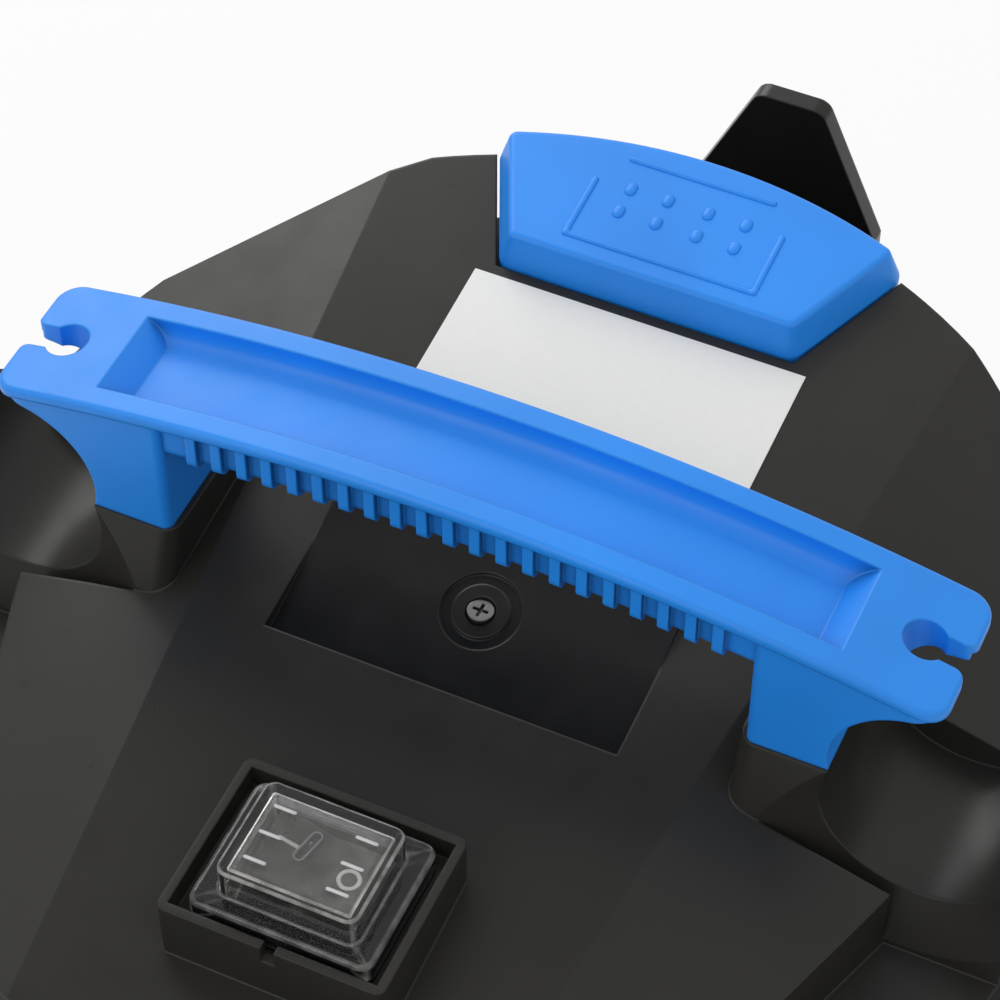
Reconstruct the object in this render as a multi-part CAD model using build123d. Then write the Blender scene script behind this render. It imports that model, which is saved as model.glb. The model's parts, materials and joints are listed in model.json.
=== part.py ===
from build123d import *
import math
import os

# Shop vacuum, millimetres. X right, Y back, Z up. The origin is on the floor, below the motor's axis.

# General fits
RUN_FIT = 0.05
SLIDE_GAP = 0.6
SEAT_GAP = 0.3
FAR = 400.0

# Casters
WHEEL_R = 20.0
WHEEL_WIDTH = 15.0
WHEEL_SIDE_GAP = 0.5
WHEEL_DISH = 2.5
CASTER_IN = 37.0
CASTER_TRAIL = 13.0
FORK_LEG = 2.5
FORK_LEG_HALF = 7.0
FORK_PLATE = 3.0
FORK_HEADROOM = 2.7
STEM_R = 5.0
STEM_LENGTH = 13.0
AXLE_R = 3.0
AXLE_HEAD_R = 5.0
AXLE_HEAD = 1.5

# Base tray
BOSS_R = 12.0
BOSS_HEIGHT = 10.0
TRAY_PLATE = 6.0
TRAY_WALL = 4.0
TRAY_RIM = 20.0
TANK_FIT = 0.4

# Tank
TANK_R = 165.0
TANK_WALL = 1.5
TANK_HEIGHT = 290.0
BEAD_OUT = 3.0
BEAD_HEIGHT = 5.0
RIM_BEAD_DROP = 19.0
LOW_BEAD_RISE = 66.0
HIGH_BEAD_GAP = 57.0

# Hose inlet
INLET_DROP = 68.0
HOSE_R = 19.5
SPIGOT_WALL = 4.0
SPIGOT_INSIDE = 18.0
INLET_FLANGE_R = 36.0
INLET_FLANGE = 5.0
INLET_COLLAR_R = 29.0
INLET_SEAL = 2.0
REACH_OUT = 23.0
COLLAR_EDGE = 1.5
HOOD_HALF_WIDTH = 30.0
HOOD_HALF_HEIGHT = 32.0
HOOD_DEPTH = 32.0
HOOD_WALL = 2.0

# Head base
HEAD_SEAL = 4.0
HEAD_SEAL_WIDTH = 8.0
BRIM_HEIGHT = 18.0
BRIM_PLATE = 4.0
BRIM_FLAT_IN = 15.0
BRIM_RIM_IN = 10.0
SKIRT_GAP = 1.0
SKIRT_WALL = 3.5
SKIRT_DROP = 12.0
SHOULDER_DROP = 10.0
WELL_R = 70.0
WELL_WALL = 3.0
WELL_DEPTH = 49.0
INTAKE_R = 22.0

# Latches
LATCH_HALF = 9.5
LATCH_PLATE = 3.0
LATCH_DROP = 44.0
LATCH_KNUCKLE_R = 4.5
LATCH_SIDE_GAP = 0.5
LATCH_OUT = 6.0
LATCH_PIN_R = 2.0
LATCH_EAR = 4.0
LATCH_LIP = 3.5
LATCH_TAB = 6.0

# Motor cover
COVER_IN = 35.2
COVER_FLAT_IN = 4.5
COVER_FLAT_ANGLE = 135.0
COVER_WALL = 3.0
COVER_HEIGHT = 80.3
DECK_SLOPE = 0.086
CREASE_X = 60.9
CREASE_SLOPE = 0.108
FACET_SLOPE = 0.297
TONGUE_IN = 27.3
TONGUE_Y = -21.9
TONGUE_TAPER = 0.341
LOWER_DECK_DROP = 32.6

# Pedestals and cord grooves
PEDESTAL_LEDGE = 1.4
PEDESTAL_RISE = 10.2
PEDESTAL_FRONT = -16.1
PEDESTAL_BACK = 20.5
PEDESTAL_FLARE = 5.8
PEDESTAL_CORNER = 4.0
GROOVE_FLARE = 12.0
GROOVE_RISE = 3.4
GROOVE_R = 22.8
HORN_RISE = 0.5

# Hand scoop and centre screw
SCOOP_HALF = 41.0
SCOOP_FRONT = -21.6
SCOOP_BACK = 16.0
SCOOP_TAIL = 24.0
SCOOP_SLOPE = 0.27
SCOOP_RISE = 0.4
SCOOP_SAG = 0.8
SCREW_RING_R = 9.0
SCREW_RING_INNER = 6.4
SCREW_RING_DEPTH = 0.8
SCREW_HEAD_R = 3.0
SCREW_HEAD = 2.0
SCREW_PROUD = 0.3
SCREW_R = 1.8
SCREW_CLEAR = 0.3
CENTRE_BOSS_R = 14.0

# Switch
SWITCH_IN = 50.8
BEZEL_HALF_X = 24.9
BEZEL_HALF_Y = 20.0
BEZEL_WALL = 2.0
BEZEL_RISE = 6.8
BEZEL_FLOOR_RISE = 0.7
BEZEL_NOTCH = 3.0
BEZEL_NOTCH_DEPTH = 4.5
SWITCH_FLANGE_X = 40.5
SWITCH_FLANGE_Y = 32.5
SWITCH_CORNER = 3.0
SWITCH_BODY_CORNER = 1.0
SWITCH_FLANGE = 1.2
SWITCH_BODY_X = 30.0
SWITCH_BODY_Y = 24.0
SWITCH_BODY_DEPTH = 24.0
SWITCH_FIT = 0.3
ROCKER_X = 23.6
ROCKER_Y = 16.0
ROCKER_GAP = 1.0
ROCKER_DEPTH = 9.0
ROCKER_TOP = 8.3
ROCKER_WAIST = 1.0
ROCKER_TILT = 9.0
ROCKER_PIVOT_R = 1.5
ROCKER_PIVOT_BITE = 0.7
CAP_FLANGE = 5.0
CAP_FLANGE_EDGE = 1.6
CAP_X = 31.0
CAP_Y = 24.4
CAP_CORNER = 2.6
CAP_HEIGHT = 7.8
CAP_EDGE = 1.2
CAP_WALL = 1.9
CAP_ROOF = 1.5

# Rating label
LABEL_HALF = 40.8
LABEL_FRONT = 35.5
LABEL_GAP = 3.3
LABEL_THICK = 0.3

# Filter-clean push block and valve
BUTTON_LENGTH = 43.9
BUTTON_HALF = 36.4
BUTTON_SPLAY = 0.45
BUTTON_DRAFT = 18.0
BUTTON_PROUD = 2.9
BUTTON_RISE = 8.4
BUTTON_SKIRT = 12.0
BUTTON_WALL = 3.0
BUTTON_TRAVEL = 6.0
BUTTON_EDGE = 1.5
BUTTON_CORNER = 4.5
BUTTON_SLIDE_GAP = 0.6
POCKET_WALL = 3.0
VALVE_IN = 25.7
STEM_BOSS_R = 6.0
VALVE_STEM_R = 4.0
VALVE_HOLE_R = 12.0
VALVE_DISC_R = 16.5
VALVE_DISC = 4.0
VALVE_SEAL = 1.5
SPRING_R = 8.6
SPRING_WIRE_R = 0.7
SPRING_TURNS = 6

# Handle
HANDLE_HALF = 106.0
HANDLE_HALF_WIDTH = 16.8
HANDLE_RISE = 50.8
HANDLE_ARCH = 11.5
HANDLE_LIP = 2.4
HANDLE_CORNER = 5.5
HANDLE_EDGE = 1.2
POST_HALF_WIDTH = 15.6
POST_IN = 39.9
POST_EDGE = 2.0
END_CURVE_IN = 2.0
END_CURVE_R = 20.3
END_LIP = 4.0
TROUGH_IN = 23.1
TROUGH_HALF_WIDTH = 11.1
TROUGH_DEPTH = 5.5
TROUGH_RAMP = 6.0
TROUGH_CORNER = 4.0
NOTCH_IN = 9.6
NOTCH_R = 4.8
NOTCH_MOUTH = 6.2
NOTCH_LIP = 2.5
RIB_MARGIN = 7.4
RIB_COUNT = 21
RIB_THICK = 2.3
RIB_DEPTH = 11.7
RIB_OUT = 1.7
RIB_ROUND = 3.0
HANDLE_SCREW_R = 2.0
HANDLE_SCREW_HEAD_R = 4.0
HANDLE_SCREW_HEAD = 2.5
HANDLE_SCREW_BITE = 14.0
HANDLE_SCREW_Y = 8.0
PEDESTAL_ROOF = 6.0

# Rear cord hook
HOOK_PLATE = 5.0
HOOK_TOP_DROP = 7.2
HOOK_TOP_HALF = 8.8
HOOK_BASE_HALF = 26.0
HOOK_FLARE_HEIGHT = 38.0
HOOK_SHELF_RISE = 16.0
HOOK_SHELF = 6.0
HOOK_SHELF_HALF = 18.0
HOOK_PAD_HALF = 22.0
HOOK_PAD = 3.0
HOOK_PAD_HEIGHT = 26.0
HOOK_CORNER = 4.0

# Outlet socket
SOCKET_RISE = 27.0
SOCKET_PAD_HALF = 27.0
SOCKET_PAD_OUT = 2.7
SOCKET_BODY_R = 22.0
SOCKET_RECESS_R = 19.5
SOCKET_RECESS_DEPTH = 16.0
SOCKET_BODY_DEPTH = 30.0
SOCKET_FLANGE_HALF = 24.0
SOCKET_FLANGE = 2.0
SOCKET_CORNER = 3.0
CONTACT_R = 2.5
CONTACT_SPAN = 19.0
CONTACT_DEPTH = 10.0
LID_HALF = 22.0
LID_THICK = 2.5
LID_KNUCKLE_R = 3.0
LID_KNUCKLE_HALF = 9.0
LID_PIN_R = 1.4
LID_EAR = 3.0

# Cord gland and exhaust
GLAND_ANGLE = 110.0
GLAND_RISE = 18.0
GLAND_R = 8.0
GLAND_BORE_R = 4.0
GLAND_COLLAR_R = 11.0
GLAND_COLLAR = 4.0
GLAND_OUT = 18.0
GRILLE_HALF = 34.0
GRILLE_RISE = 10.0
GRILLE_HEIGHT = 22.0
GRILLE_FRAME = 3.0
GRILLE_SLOTS = 11
GRILLE_BAR = 2.6

# Motor
CAN_R = 64.0
CAN_WALL = 2.0
CAN_HEIGHT = 38.0
CAN_PORT_R = 4.5
CAN_PORT_RING_R = 56.5
CAN_PORTS = 12
CAN_INLET_R = 20.0
MOTOR_SEAL = 5.0
MOTOR_SEAL_R = 40.0
BEARING_R = 11.0
BEARING_WIDTH = 7.0
BEARING_CUP_WALL = 3.0
BEARING_GROOVE = 0.5
SHAFT_R = 4.0
BRACKET_RING_R = 50.0
BRACKET_RING_WIDTH = 12.0
BRACKET_RING_HEIGHT = 12.0
BRACKET_POST = 4.6
BRACKET_POST_HALF = 9.0
BRACKET_ARM = 4.0
BRACKET_ARM_HALF = 6.0
BRACKET_ARM_REACH = 36.0
STATOR_R = 45.0
STATOR_BORE_R = 30.0
STATOR_HEIGHT = 28.0
POLES = 4
POLE_GAP_DEPTH = 6.0
POLE_GAP_HALF = 4.0
AIR_GAP = 0.7
CORE_SLOTS = 12
CORE_SLOT_HALF = 1.2
COMMUTATOR_R = 12.0
COMMUTATOR_LENGTH = 8.0
COMMUTATOR_RISE = 2.0
BRUSH_HALF = 3.0
BRUSH_LENGTH = 13.0
HOLDER_WALL = 2.0
HOLDER_LENGTH = 18.0
HOLDER_GAP = 3.0
MOTOR_CAP = 6.0
MOUNT_HEIGHT = 4.0
IMPELLER_R = 58.0
IMPELLER_EYE_R = 22.0
IMPELLER_DISC = 2.0
IMPELLER_GAP = 16.0
IMPELLER_RISE = 4.0
IMPELLER_HUB_R = 10.0
IMPELLER_VANES = 7
VANE_THICK = 2.0

# Filter
CAGE_R = 58.0
CAGE_WALL = 3.0
FLOAT_CLEAR = 4.0
CAGE_FLANGE_R = 70.0
CAGE_FLANGE = 3.0
CAGE_WINDOWS = 8
CAGE_WINDOW_WIDTH = 30.0
CAGE_WINDOW_MARGIN = 12.0
CAGE_FIN = 2.0
CAGE_FINS = 4
FLOAT_R = 22.0
FLOAT_GAP = 0.5
FLOAT_TRAVEL = 45.0
PLEATS = 44
PLEAT_R = 82.0
PLEAT_DEPTH = 14.0
FILTER_CAP_R = 85.0
FILTER_CAP = 6.0
FILTER_CAP_EDGE = 1.5
FILTER_KNOB_R = 14.0
FILTER_KNOB = 12.0

# Terminal block and cover screws
TERMINAL_X = 92.0
TERMINAL_LENGTH = 44.0
TERMINAL_WIDTH = 18.0
TERMINAL_HEIGHT = 16.0
TERMINAL_WAYS = 4
TERMINAL_HOLE_R = 3.0
COVER_SCREW_R = 2.0
COVER_SCREW_HEAD_R = 4.5
COVER_SCREW_HEAD = 2.5
COVER_SCREW_BITE = 16.0
COVER_BOSS_R = 5.0
COVER_BOSS_ROOF = 4.0
COVER_SCREW_ANGLES = (40.0, 158.0, 220.0, 320.0)

# Places, worked out from the middle
COVER_R = TANK_R - COVER_IN
COVER_FLAT = COVER_R - COVER_FLAT_IN
CASTER_RING_R = TANK_R - CASTER_IN
BRIM_FLAT_R = TANK_R - BRIM_FLAT_IN
BRIM_RIM_R = TANK_R - BRIM_RIM_IN
REACH = TANK_R + REACH_OUT
TONGUE_X = COVER_R - TONGUE_IN
SWITCH_Y = SWITCH_IN - COVER_R
BUTTON_R = COVER_R + BUTTON_PROUD
BUTTON_FRONT = BUTTON_R - BUTTON_LENGTH
VALVE_Y = BUTTON_R - VALVE_IN
LABEL_BACK = BUTTON_FRONT - LABEL_GAP
LABEL_DEPTH = LABEL_BACK - LABEL_FRONT
POST_INNER = HANDLE_HALF - POST_IN
PEDESTAL_X = POST_INNER - PEDESTAL_LEDGE
GROOVE_X = HANDLE_HALF
END_CURVE_X = HANDLE_HALF - END_CURVE_IN
TROUGH_HALF = HANDLE_HALF - TROUGH_IN
NOTCH_X = HANDLE_HALF - NOTCH_IN
RIB_SPAN = 2 * (POST_INNER - RIB_MARGIN)
CAGE_HEIGHT = CAGE_WALL + 2 * FLOAT_R + FLOAT_TRAVEL + FLOAT_CLEAR

# Levels, worked out from the floor up
FORK_TOP_Z = 2 * WHEEL_R + FORK_HEADROOM + FORK_PLATE
BOSS_Z = FORK_TOP_Z + SEAT_GAP
TRAY_Z = BOSS_Z + BOSS_HEIGHT
TANK_Z = TRAY_Z + TRAY_PLATE
TANK_TOP_Z = TANK_Z + TANK_HEIGHT
HEAD_Z = TANK_TOP_Z + HEAD_SEAL
COVER_Z = HEAD_Z + BRIM_HEIGHT
PLATE_Z = COVER_Z - BRIM_PLATE
WELL_Z = COVER_Z - WELL_DEPTH
CAGE_TOP_Z = WELL_Z - WELL_WALL
CAGE_Z = CAGE_TOP_Z - CAGE_HEIGHT
DECK_Z = COVER_Z + COVER_HEIGHT
PEDESTAL_Z = DECK_Z + PEDESTAL_RISE
GROOVE_Z = DECK_Z + GROOVE_RISE
LOWER_DECK_Z = DECK_Z - LOWER_DECK_DROP
BEZEL_FLOOR_Z = DECK_Z + BEZEL_FLOOR_RISE
HANDLE_TOP_Z = DECK_Z + HANDLE_RISE
INLET_Z = TANK_TOP_Z - INLET_DROP
HIGH_BEAD_Z = INLET_Z - HIGH_BEAD_GAP
SOCKET_Z = COVER_Z + SOCKET_RISE
RIM_BEAD_Z = TANK_TOP_Z - RIM_BEAD_DROP
CAN_Z = WELL_Z + MOTOR_SEAL
CAN_TOP_Z = CAN_Z + CAN_HEIGHT
STATOR_Z = CAN_TOP_Z + BRACKET_RING_HEIGHT
COMMUTATOR_Z = STATOR_Z + STATOR_HEIGHT + COMMUTATOR_RISE
BRUSH_Z = COMMUTATOR_Z + COMMUTATOR_LENGTH / 2
ARM_Z = BRUSH_Z + BRUSH_HALF + HOLDER_WALL
UPPER_BEARING_Z = ARM_Z + BRACKET_ARM
SHAFT_TOP_Z = UPPER_BEARING_Z + BEARING_WIDTH
MOTOR_TOP_Z = SHAFT_TOP_Z + MOTOR_CAP
MOUNT_TOP_Z = MOTOR_TOP_Z + MOUNT_HEIGHT
IMPELLER_Z = CAN_Z + CAN_WALL + IMPELLER_RISE
SKIRT_R = TANK_R + BEAD_OUT + SKIRT_GAP + SKIRT_WALL
HORN_Z = DECK_Z + HORN_RISE
SCOOP_Z = DECK_Z + SCOOP_RISE - SCOOP_SAG
LATCH_X = SKIRT_R + LATCH_OUT
LATCH_Z = HEAD_Z + BRIM_HEIGHT - SHOULDER_DROP
ARCH_R = (HANDLE_HALF ** 2 + HANDLE_ARCH ** 2) / (2 * HANDLE_ARCH)
COVER_SCREW_RING_R = COVER_R - COVER_WALL - COVER_BOSS_R * 0.7
POCKET_DEPTH = BUTTON_SKIRT + BUTTON_TRAVEL + SEAT_GAP


def deck_height(y):
    """Height of the sloping deck at a distance behind the motor's axis."""
    return DECK_Z + DECK_SLOPE * y


def cyl(radius, low, high, x=0.0, y=0.0):
    """Upright cylinder."""
    foot = (Align.CENTER, Align.CENTER, Align.MIN)
    return Pos(x, y, low) * Cylinder(radius, high - low, align=foot)


def ring(outer, inner, low, high, x=0.0, y=0.0):
    """Upright tube."""
    return cyl(outer, low, high, x, y) - cyl(inner, low, high, x, y)


def rod_y(radius, front, back, x, z):
    """Cylinder along Y."""
    middle = (front + back) / 2
    return Pos(x, middle, z) * Rot(90, 0, 0) * Cylinder(radius, back - front)


def rod_x(radius, left, right, y, z):
    """Cylinder along X."""
    middle = (left + right) / 2
    return Pos(middle, y, z) * Rot(0, 90, 0) * Cylinder(radius, right - left)


def slab(left, right, front, back, low, high):
    """Box between two corners."""
    centre = Pos((left + right) / 2, (front + back) / 2, (low + high) / 2)
    return centre * Box(right - left, back - front, high - low)


def spun(points):
    """Solid of revolution about Z from (radius, height) points."""
    return revolve(make_face(Plane.XZ * Polyline(*points, close=True)), Axis.Z)


def side_prism(face, front, back):
    """Prism along Y from a face drawn in X and Z."""
    return Pos(0, back, 0) * extrude(Plane.XZ * face, back - front)


def above(point, normal):
    """Everything on the outer side of a plane."""
    foot = (Align.CENTER, Align.CENTER, Align.MIN)
    return Plane(origin=point, z_dir=normal) * Box(FAR, FAR, FAR, align=foot)


def mirrored(shape):
    """Twin on the other side of the vacuum."""
    return mirror(shape, about=Plane.YZ)


def both(shape):
    """A piece and its twin, as two separate solids."""
    return Compound([*shape.solids(), *mirrored(shape).solids()])


def turned(shape, degrees):
    """Shape turned about the motor's axis."""
    return Rot(0, 0, degrees) * shape


# Tank and base

def make_tank():
    """Rolled steel wall of the drum with a thick rim, three stiffening beads and the hose hole."""
    top_bead = ring(TANK_R + BEAD_OUT, TANK_R - TANK_WALL, TANK_TOP_Z - BEAD_HEIGHT, TANK_TOP_Z)
    shell = ring(TANK_R, TANK_R - TANK_WALL, TANK_Z + TANK_WALL, TANK_TOP_Z)
    shell += top_bead
    for level in (TANK_Z + LOW_BEAD_RISE, HIGH_BEAD_Z, RIM_BEAD_Z):
        shell += spun([
            (TANK_R - TANK_WALL / 2, level - BEAD_HEIGHT / 2),
            (TANK_R, level - BEAD_HEIGHT / 2),
            (TANK_R + BEAD_OUT * 0.8, level - BEAD_HEIGHT / 6),
            (TANK_R + BEAD_OUT * 0.8, level + BEAD_HEIGHT / 6),
            (TANK_R, level + BEAD_HEIGHT / 2),
            (TANK_R - TANK_WALL / 2, level + BEAD_HEIGHT / 2),
        ])
    return shell - rod_y(HOSE_R + SPIGOT_WALL + TANK_FIT, -FAR, 0, 0, INLET_Z)


def make_tank_bottom():
    """Steel disc that the drum's wall is welded on."""
    return cyl(TANK_R, TANK_Z, TANK_Z + TANK_WALL)


def make_base_tray():
    """Round tray under the tank with a boss over each caster."""
    outer = TANK_R + TANK_FIT + TRAY_WALL
    tray = cyl(outer, TRAY_Z, TANK_Z + TRAY_RIM) - cyl(TANK_R + TANK_FIT, TANK_Z, TANK_Z + TRAY_RIM)
    tray = chamfer(tray.edges().sort_by(Axis.Z)[0], TRAY_WALL * 0.8)
    for angle in caster_angles():
        x, y = caster_place(angle)
        tray += cyl(BOSS_R, BOSS_Z, TRAY_Z, x, y)
    for angle in caster_angles():
        x, y = caster_place(angle)
        tray -= cyl(STEM_R + RUN_FIT, BOSS_Z, BOSS_Z + STEM_LENGTH + SEAT_GAP, x, y)
    return tray


def caster_angles():
    """Direction of each caster, in degrees from +X."""
    return {"front_right": -45.0, "front_left": -135.0, "rear_right": 45.0, "rear_left": 135.0}.values()


def caster_place(angle):
    """Swivel axis of a caster."""
    turn = math.radians(angle)
    return CASTER_RING_R * math.cos(turn), CASTER_RING_R * math.sin(turn)


def caster_part(shape, angle):
    """Move a caster piece from its own swivel axis to its place, trailing outwards."""
    return turned(Pos(CASTER_RING_R, 0, 0) * shape, angle)


def make_fork():
    """Swivel fork with its stem."""
    inner = WHEEL_WIDTH / 2 + WHEEL_SIDE_GAP
    outer = inner + FORK_LEG
    plate_low = FORK_TOP_Z - FORK_PLATE
    tail = CASTER_TRAIL + FORK_LEG_HALF
    fork = slab(0, tail, -outer, outer, plate_low, FORK_TOP_Z) + cyl(outer, plate_low, FORK_TOP_Z)
    for side in (-1, 1):
        middle = side * (inner + FORK_LEG / 2)
        front, back = middle - FORK_LEG / 2, middle + FORK_LEG / 2
        fork += slab(CASTER_TRAIL - FORK_LEG_HALF, tail, front, back, WHEEL_R, FORK_TOP_Z)
        fork += rod_y(FORK_LEG_HALF, front, back, CASTER_TRAIL, WHEEL_R)
    fork += cyl(STEM_R, FORK_TOP_Z, FORK_TOP_Z + STEM_LENGTH)
    return fork - rod_y(AXLE_R, -outer, outer, CASTER_TRAIL, WHEEL_R)


def make_axle():
    """Riveted axle with a head at each end."""
    outer = WHEEL_WIDTH / 2 + WHEEL_SIDE_GAP + FORK_LEG
    axle = rod_y(AXLE_R, -outer, outer, CASTER_TRAIL, WHEEL_R)
    axle += rod_y(AXLE_HEAD_R, outer, outer + AXLE_HEAD, CASTER_TRAIL, WHEEL_R)
    return axle + rod_y(AXLE_HEAD_R, -outer - AXLE_HEAD, -outer, CASTER_TRAIL, WHEEL_R)


def make_wheel():
    """Wheel with rounded tread edges and a dished hub."""
    half = WHEEL_WIDTH / 2
    wheel = Cylinder(WHEEL_R, WHEEL_WIDTH)
    wheel = fillet(wheel.edges(), WHEEL_WIDTH * 0.2)
    dish = ring(WHEEL_R * 0.72, WHEEL_R * 0.34, half - WHEEL_DISH, half)
    wheel -= dish
    wheel -= mirror(dish, about=Plane.XY)
    wheel -= Cylinder(AXLE_R + RUN_FIT, WHEEL_WIDTH)
    return Pos(CASTER_TRAIL, 0, WHEEL_R) * Rot(90, 0, 0) * wheel


# Hose inlet

def inlet_band(radius, inner, outer):
    """Patch of a shell round the tank, as wide as the inlet."""
    patch = rod_y(radius, -outer - 1, -inner / 2, 0, INLET_Z)
    return patch & ring(outer, inner, INLET_Z - radius, INLET_Z + radius)


def make_inlet_seal():
    """Rubber pad between the tank and the inlet flange."""
    pad = inlet_band(INLET_FLANGE_R, TANK_R, TANK_R + INLET_SEAL)
    return pad - rod_y(HOSE_R + SPIGOT_WALL, -FAR, 0, 0, INLET_Z)


def make_inlet_flange():
    """Hose port: saddle flange, collar and spigot through the tank's wall."""
    inner_end = -(TANK_R - SPIGOT_INSIDE)
    port = inlet_band(INLET_FLANGE_R, TANK_R + INLET_SEAL, TANK_R + INLET_SEAL + INLET_FLANGE)
    collar = rod_y(INLET_COLLAR_R, -REACH, -TANK_R, 0, INLET_Z) - cyl(TANK_R + INLET_SEAL, 0, FAR)
    port += chamfer(collar.edges().sort_by(Axis.Y)[0], COLLAR_EDGE)
    port += rod_y(HOSE_R + SPIGOT_WALL, -TANK_R - INLET_SEAL, inner_end, 0, INLET_Z)
    return port - rod_y(HOSE_R, -REACH, inner_end, 0, INLET_Z)


def make_inlet_deflector():
    """Hood inside the tank that turns the air downwards."""
    back = -(TANK_R - SPIGOT_INSIDE)
    front = back - HOOD_WALL
    low, high = INLET_Z - HOOD_HALF_HEIGHT, INLET_Z + HOOD_HALF_HEIGHT
    hood = slab(-HOOD_HALF_WIDTH, HOOD_HALF_WIDTH, front, back + HOOD_DEPTH, low, high)
    side = HOOD_HALF_WIDTH - HOOD_WALL
    hood -= slab(-side, side, back, back + HOOD_DEPTH - HOOD_WALL, low, high - HOOD_WALL)
    return hood - rod_y(HOSE_R + SPIGOT_WALL, front, back, 0, INLET_Z)


# Head base, seals and latches

def make_head_seal():
    """Rubber ring on the tank's rim."""
    outer = TANK_R + BEAD_OUT
    return ring(outer, outer - HEAD_SEAL_WIDTH, TANK_TOP_Z, HEAD_Z)


def make_head_base():
    """Lower half of the head: brim, skirt and the well that holds the motor."""
    inner = SKIRT_R - SKIRT_WALL
    base = spun([
        (INTAKE_R, CAGE_TOP_Z),
        (WELL_R + WELL_WALL, CAGE_TOP_Z),
        (WELL_R + WELL_WALL, PLATE_Z),
        (BRIM_RIM_R, PLATE_Z),
        (BRIM_RIM_R, HEAD_Z),
        (inner, HEAD_Z),
        (inner, HEAD_Z - SKIRT_DROP),
        (SKIRT_R, HEAD_Z - SKIRT_DROP),
        (SKIRT_R, COVER_Z - SHOULDER_DROP),
        (BRIM_FLAT_R, COVER_Z),
        (WELL_R, COVER_Z),
        (WELL_R, WELL_Z),
        (INTAKE_R, WELL_Z),
    ])
    ear_low, ear_high = LATCH_Z - LATCH_KNUCKLE_R, LATCH_Z + LATCH_KNUCKLE_R
    near = LATCH_HALF + LATCH_SIDE_GAP
    for front in (near, -near - LATCH_EAR):
        ear = slab(SKIRT_R - SKIRT_WALL, LATCH_X, front, front + LATCH_EAR, ear_low, ear_high)
        ear += rod_y(LATCH_KNUCKLE_R, front, front + LATCH_EAR, LATCH_X, LATCH_Z)
        ear -= rod_y(LATCH_PIN_R, front, front + LATCH_EAR, LATCH_X, LATCH_Z)
        base += ear
        base += mirrored(ear)
    base -= cyl(VALVE_HOLE_R, PLATE_Z, COVER_Z, 0, VALVE_Y)
    for angle in COVER_SCREW_ANGLES:
        base -= turned(cyl(COVER_SCREW_R + RUN_FIT, PLATE_Z, COVER_Z, COVER_SCREW_RING_R), angle)
    return base


def make_latch():
    """Right-hand latch: knuckle, lever, lip under the tank's bead and finger tab."""
    left = LATCH_X - LATCH_KNUCKLE_R
    low = LATCH_Z - LATCH_DROP
    lip_high = RIM_BEAD_Z - BEAD_HEIGHT / 2 - SEAT_GAP
    latch = slab(left, left + LATCH_PLATE, -LATCH_HALF, LATCH_HALF, low, LATCH_Z)
    latch += rod_y(LATCH_KNUCKLE_R, -LATCH_HALF, LATCH_HALF, LATCH_X, LATCH_Z)
    latch += slab(TANK_R + 1, left, -LATCH_HALF, LATCH_HALF, lip_high - LATCH_LIP, lip_high)
    latch += slab(left, left + LATCH_PLATE + LATCH_TAB, -LATCH_HALF, LATCH_HALF, low, low + LATCH_PLATE)
    return latch - rod_y(LATCH_PIN_R + RUN_FIT, -LATCH_HALF, LATCH_HALF, LATCH_X, LATCH_Z)


def make_latch_pins():
    """Hinge pins of the two latches."""
    end = LATCH_HALF + LATCH_SIDE_GAP + LATCH_EAR
    return both(rod_y(LATCH_PIN_R, -end, end, LATCH_X, LATCH_Z))


# Motor cover

def cover_form(inset):
    """Housing form under its deck, facets and side steps, all moved in by an inset."""
    form = cyl(COVER_R - inset, COVER_Z, DECK_Z + FAR / 4)
    form -= above((0, 0, DECK_Z - inset), (0, -DECK_SLOPE, 1))
    facet_y = DECK_SLOPE + FACET_SLOPE * CREASE_SLOPE
    for side in (-1, 1):
        form -= above((side * CREASE_X, 0, DECK_Z - inset), (side * FACET_SLOPE, -facet_y, 1))
    form -= turned(above((COVER_FLAT - inset, 0, DECK_Z), (1, 0, 0)), COVER_FLAT_ANGLE)
    reach = COVER_R + TONGUE_Y
    corner = (TONGUE_X - inset, TONGUE_Y + inset)
    far_corner = (TONGUE_X - inset - TONGUE_TAPER * reach, TONGUE_Y - reach)
    outline = Polyline(corner, far_corner, (FAR / 2, far_corner[1]), (FAR / 2, corner[1]), close=True)
    step = Pos(0, 0, LOWER_DECK_Z - inset) * extrude(make_face(outline), FAR / 4)
    return form - step - mirrored(step)


def make_pedestal():
    """Right-hand block under a handle post, with its flared front."""
    low = LOWER_DECK_Z
    outline = Polyline(
        (PEDESTAL_FRONT - PEDESTAL_FLARE, low),
        (PEDESTAL_FRONT - PEDESTAL_FLARE, DECK_Z - PEDESTAL_RISE / 2),
        (PEDESTAL_FRONT, PEDESTAL_Z),
        (PEDESTAL_BACK, PEDESTAL_Z),
        (PEDESTAL_BACK, low),
        close=True,
    )
    rail = Pos(PEDESTAL_X, 0, 0) * extrude(Plane.YZ * make_face(outline), COVER_R)
    corner = rail.edges().filter_by(lambda edge: edge.center().X < PEDESTAL_X + 0.1)
    corner = corner.filter_by(lambda edge: edge.center().Y < PEDESTAL_FRONT - 0.1)
    corner = corner.filter_by(lambda edge: edge.center().Z > low + 0.1)
    rail = fillet(corner, PEDESTAL_CORNER)
    block = rail & cyl(COVER_R, low, PEDESTAL_Z)
    return block - slab(GROOVE_X, FAR, -FAR, FAR, HORN_Z, FAR * 3)


def groove(grow):
    """Cord groove along the outer side of the right-hand pedestal, flared at its front."""
    radius = GROOVE_R + grow
    straight = rod_y(radius, PEDESTAL_FRONT, PEDESTAL_BACK + grow, GROOVE_X, GROOVE_Z)
    flare = Cone(radius + GROOVE_FLARE, radius, PEDESTAL_FLARE)
    middle = PEDESTAL_FRONT - PEDESTAL_FLARE / 2
    return straight + Pos(GROOVE_X, middle, GROOVE_Z) * Rot(-90, 0, 0) * flare


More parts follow.
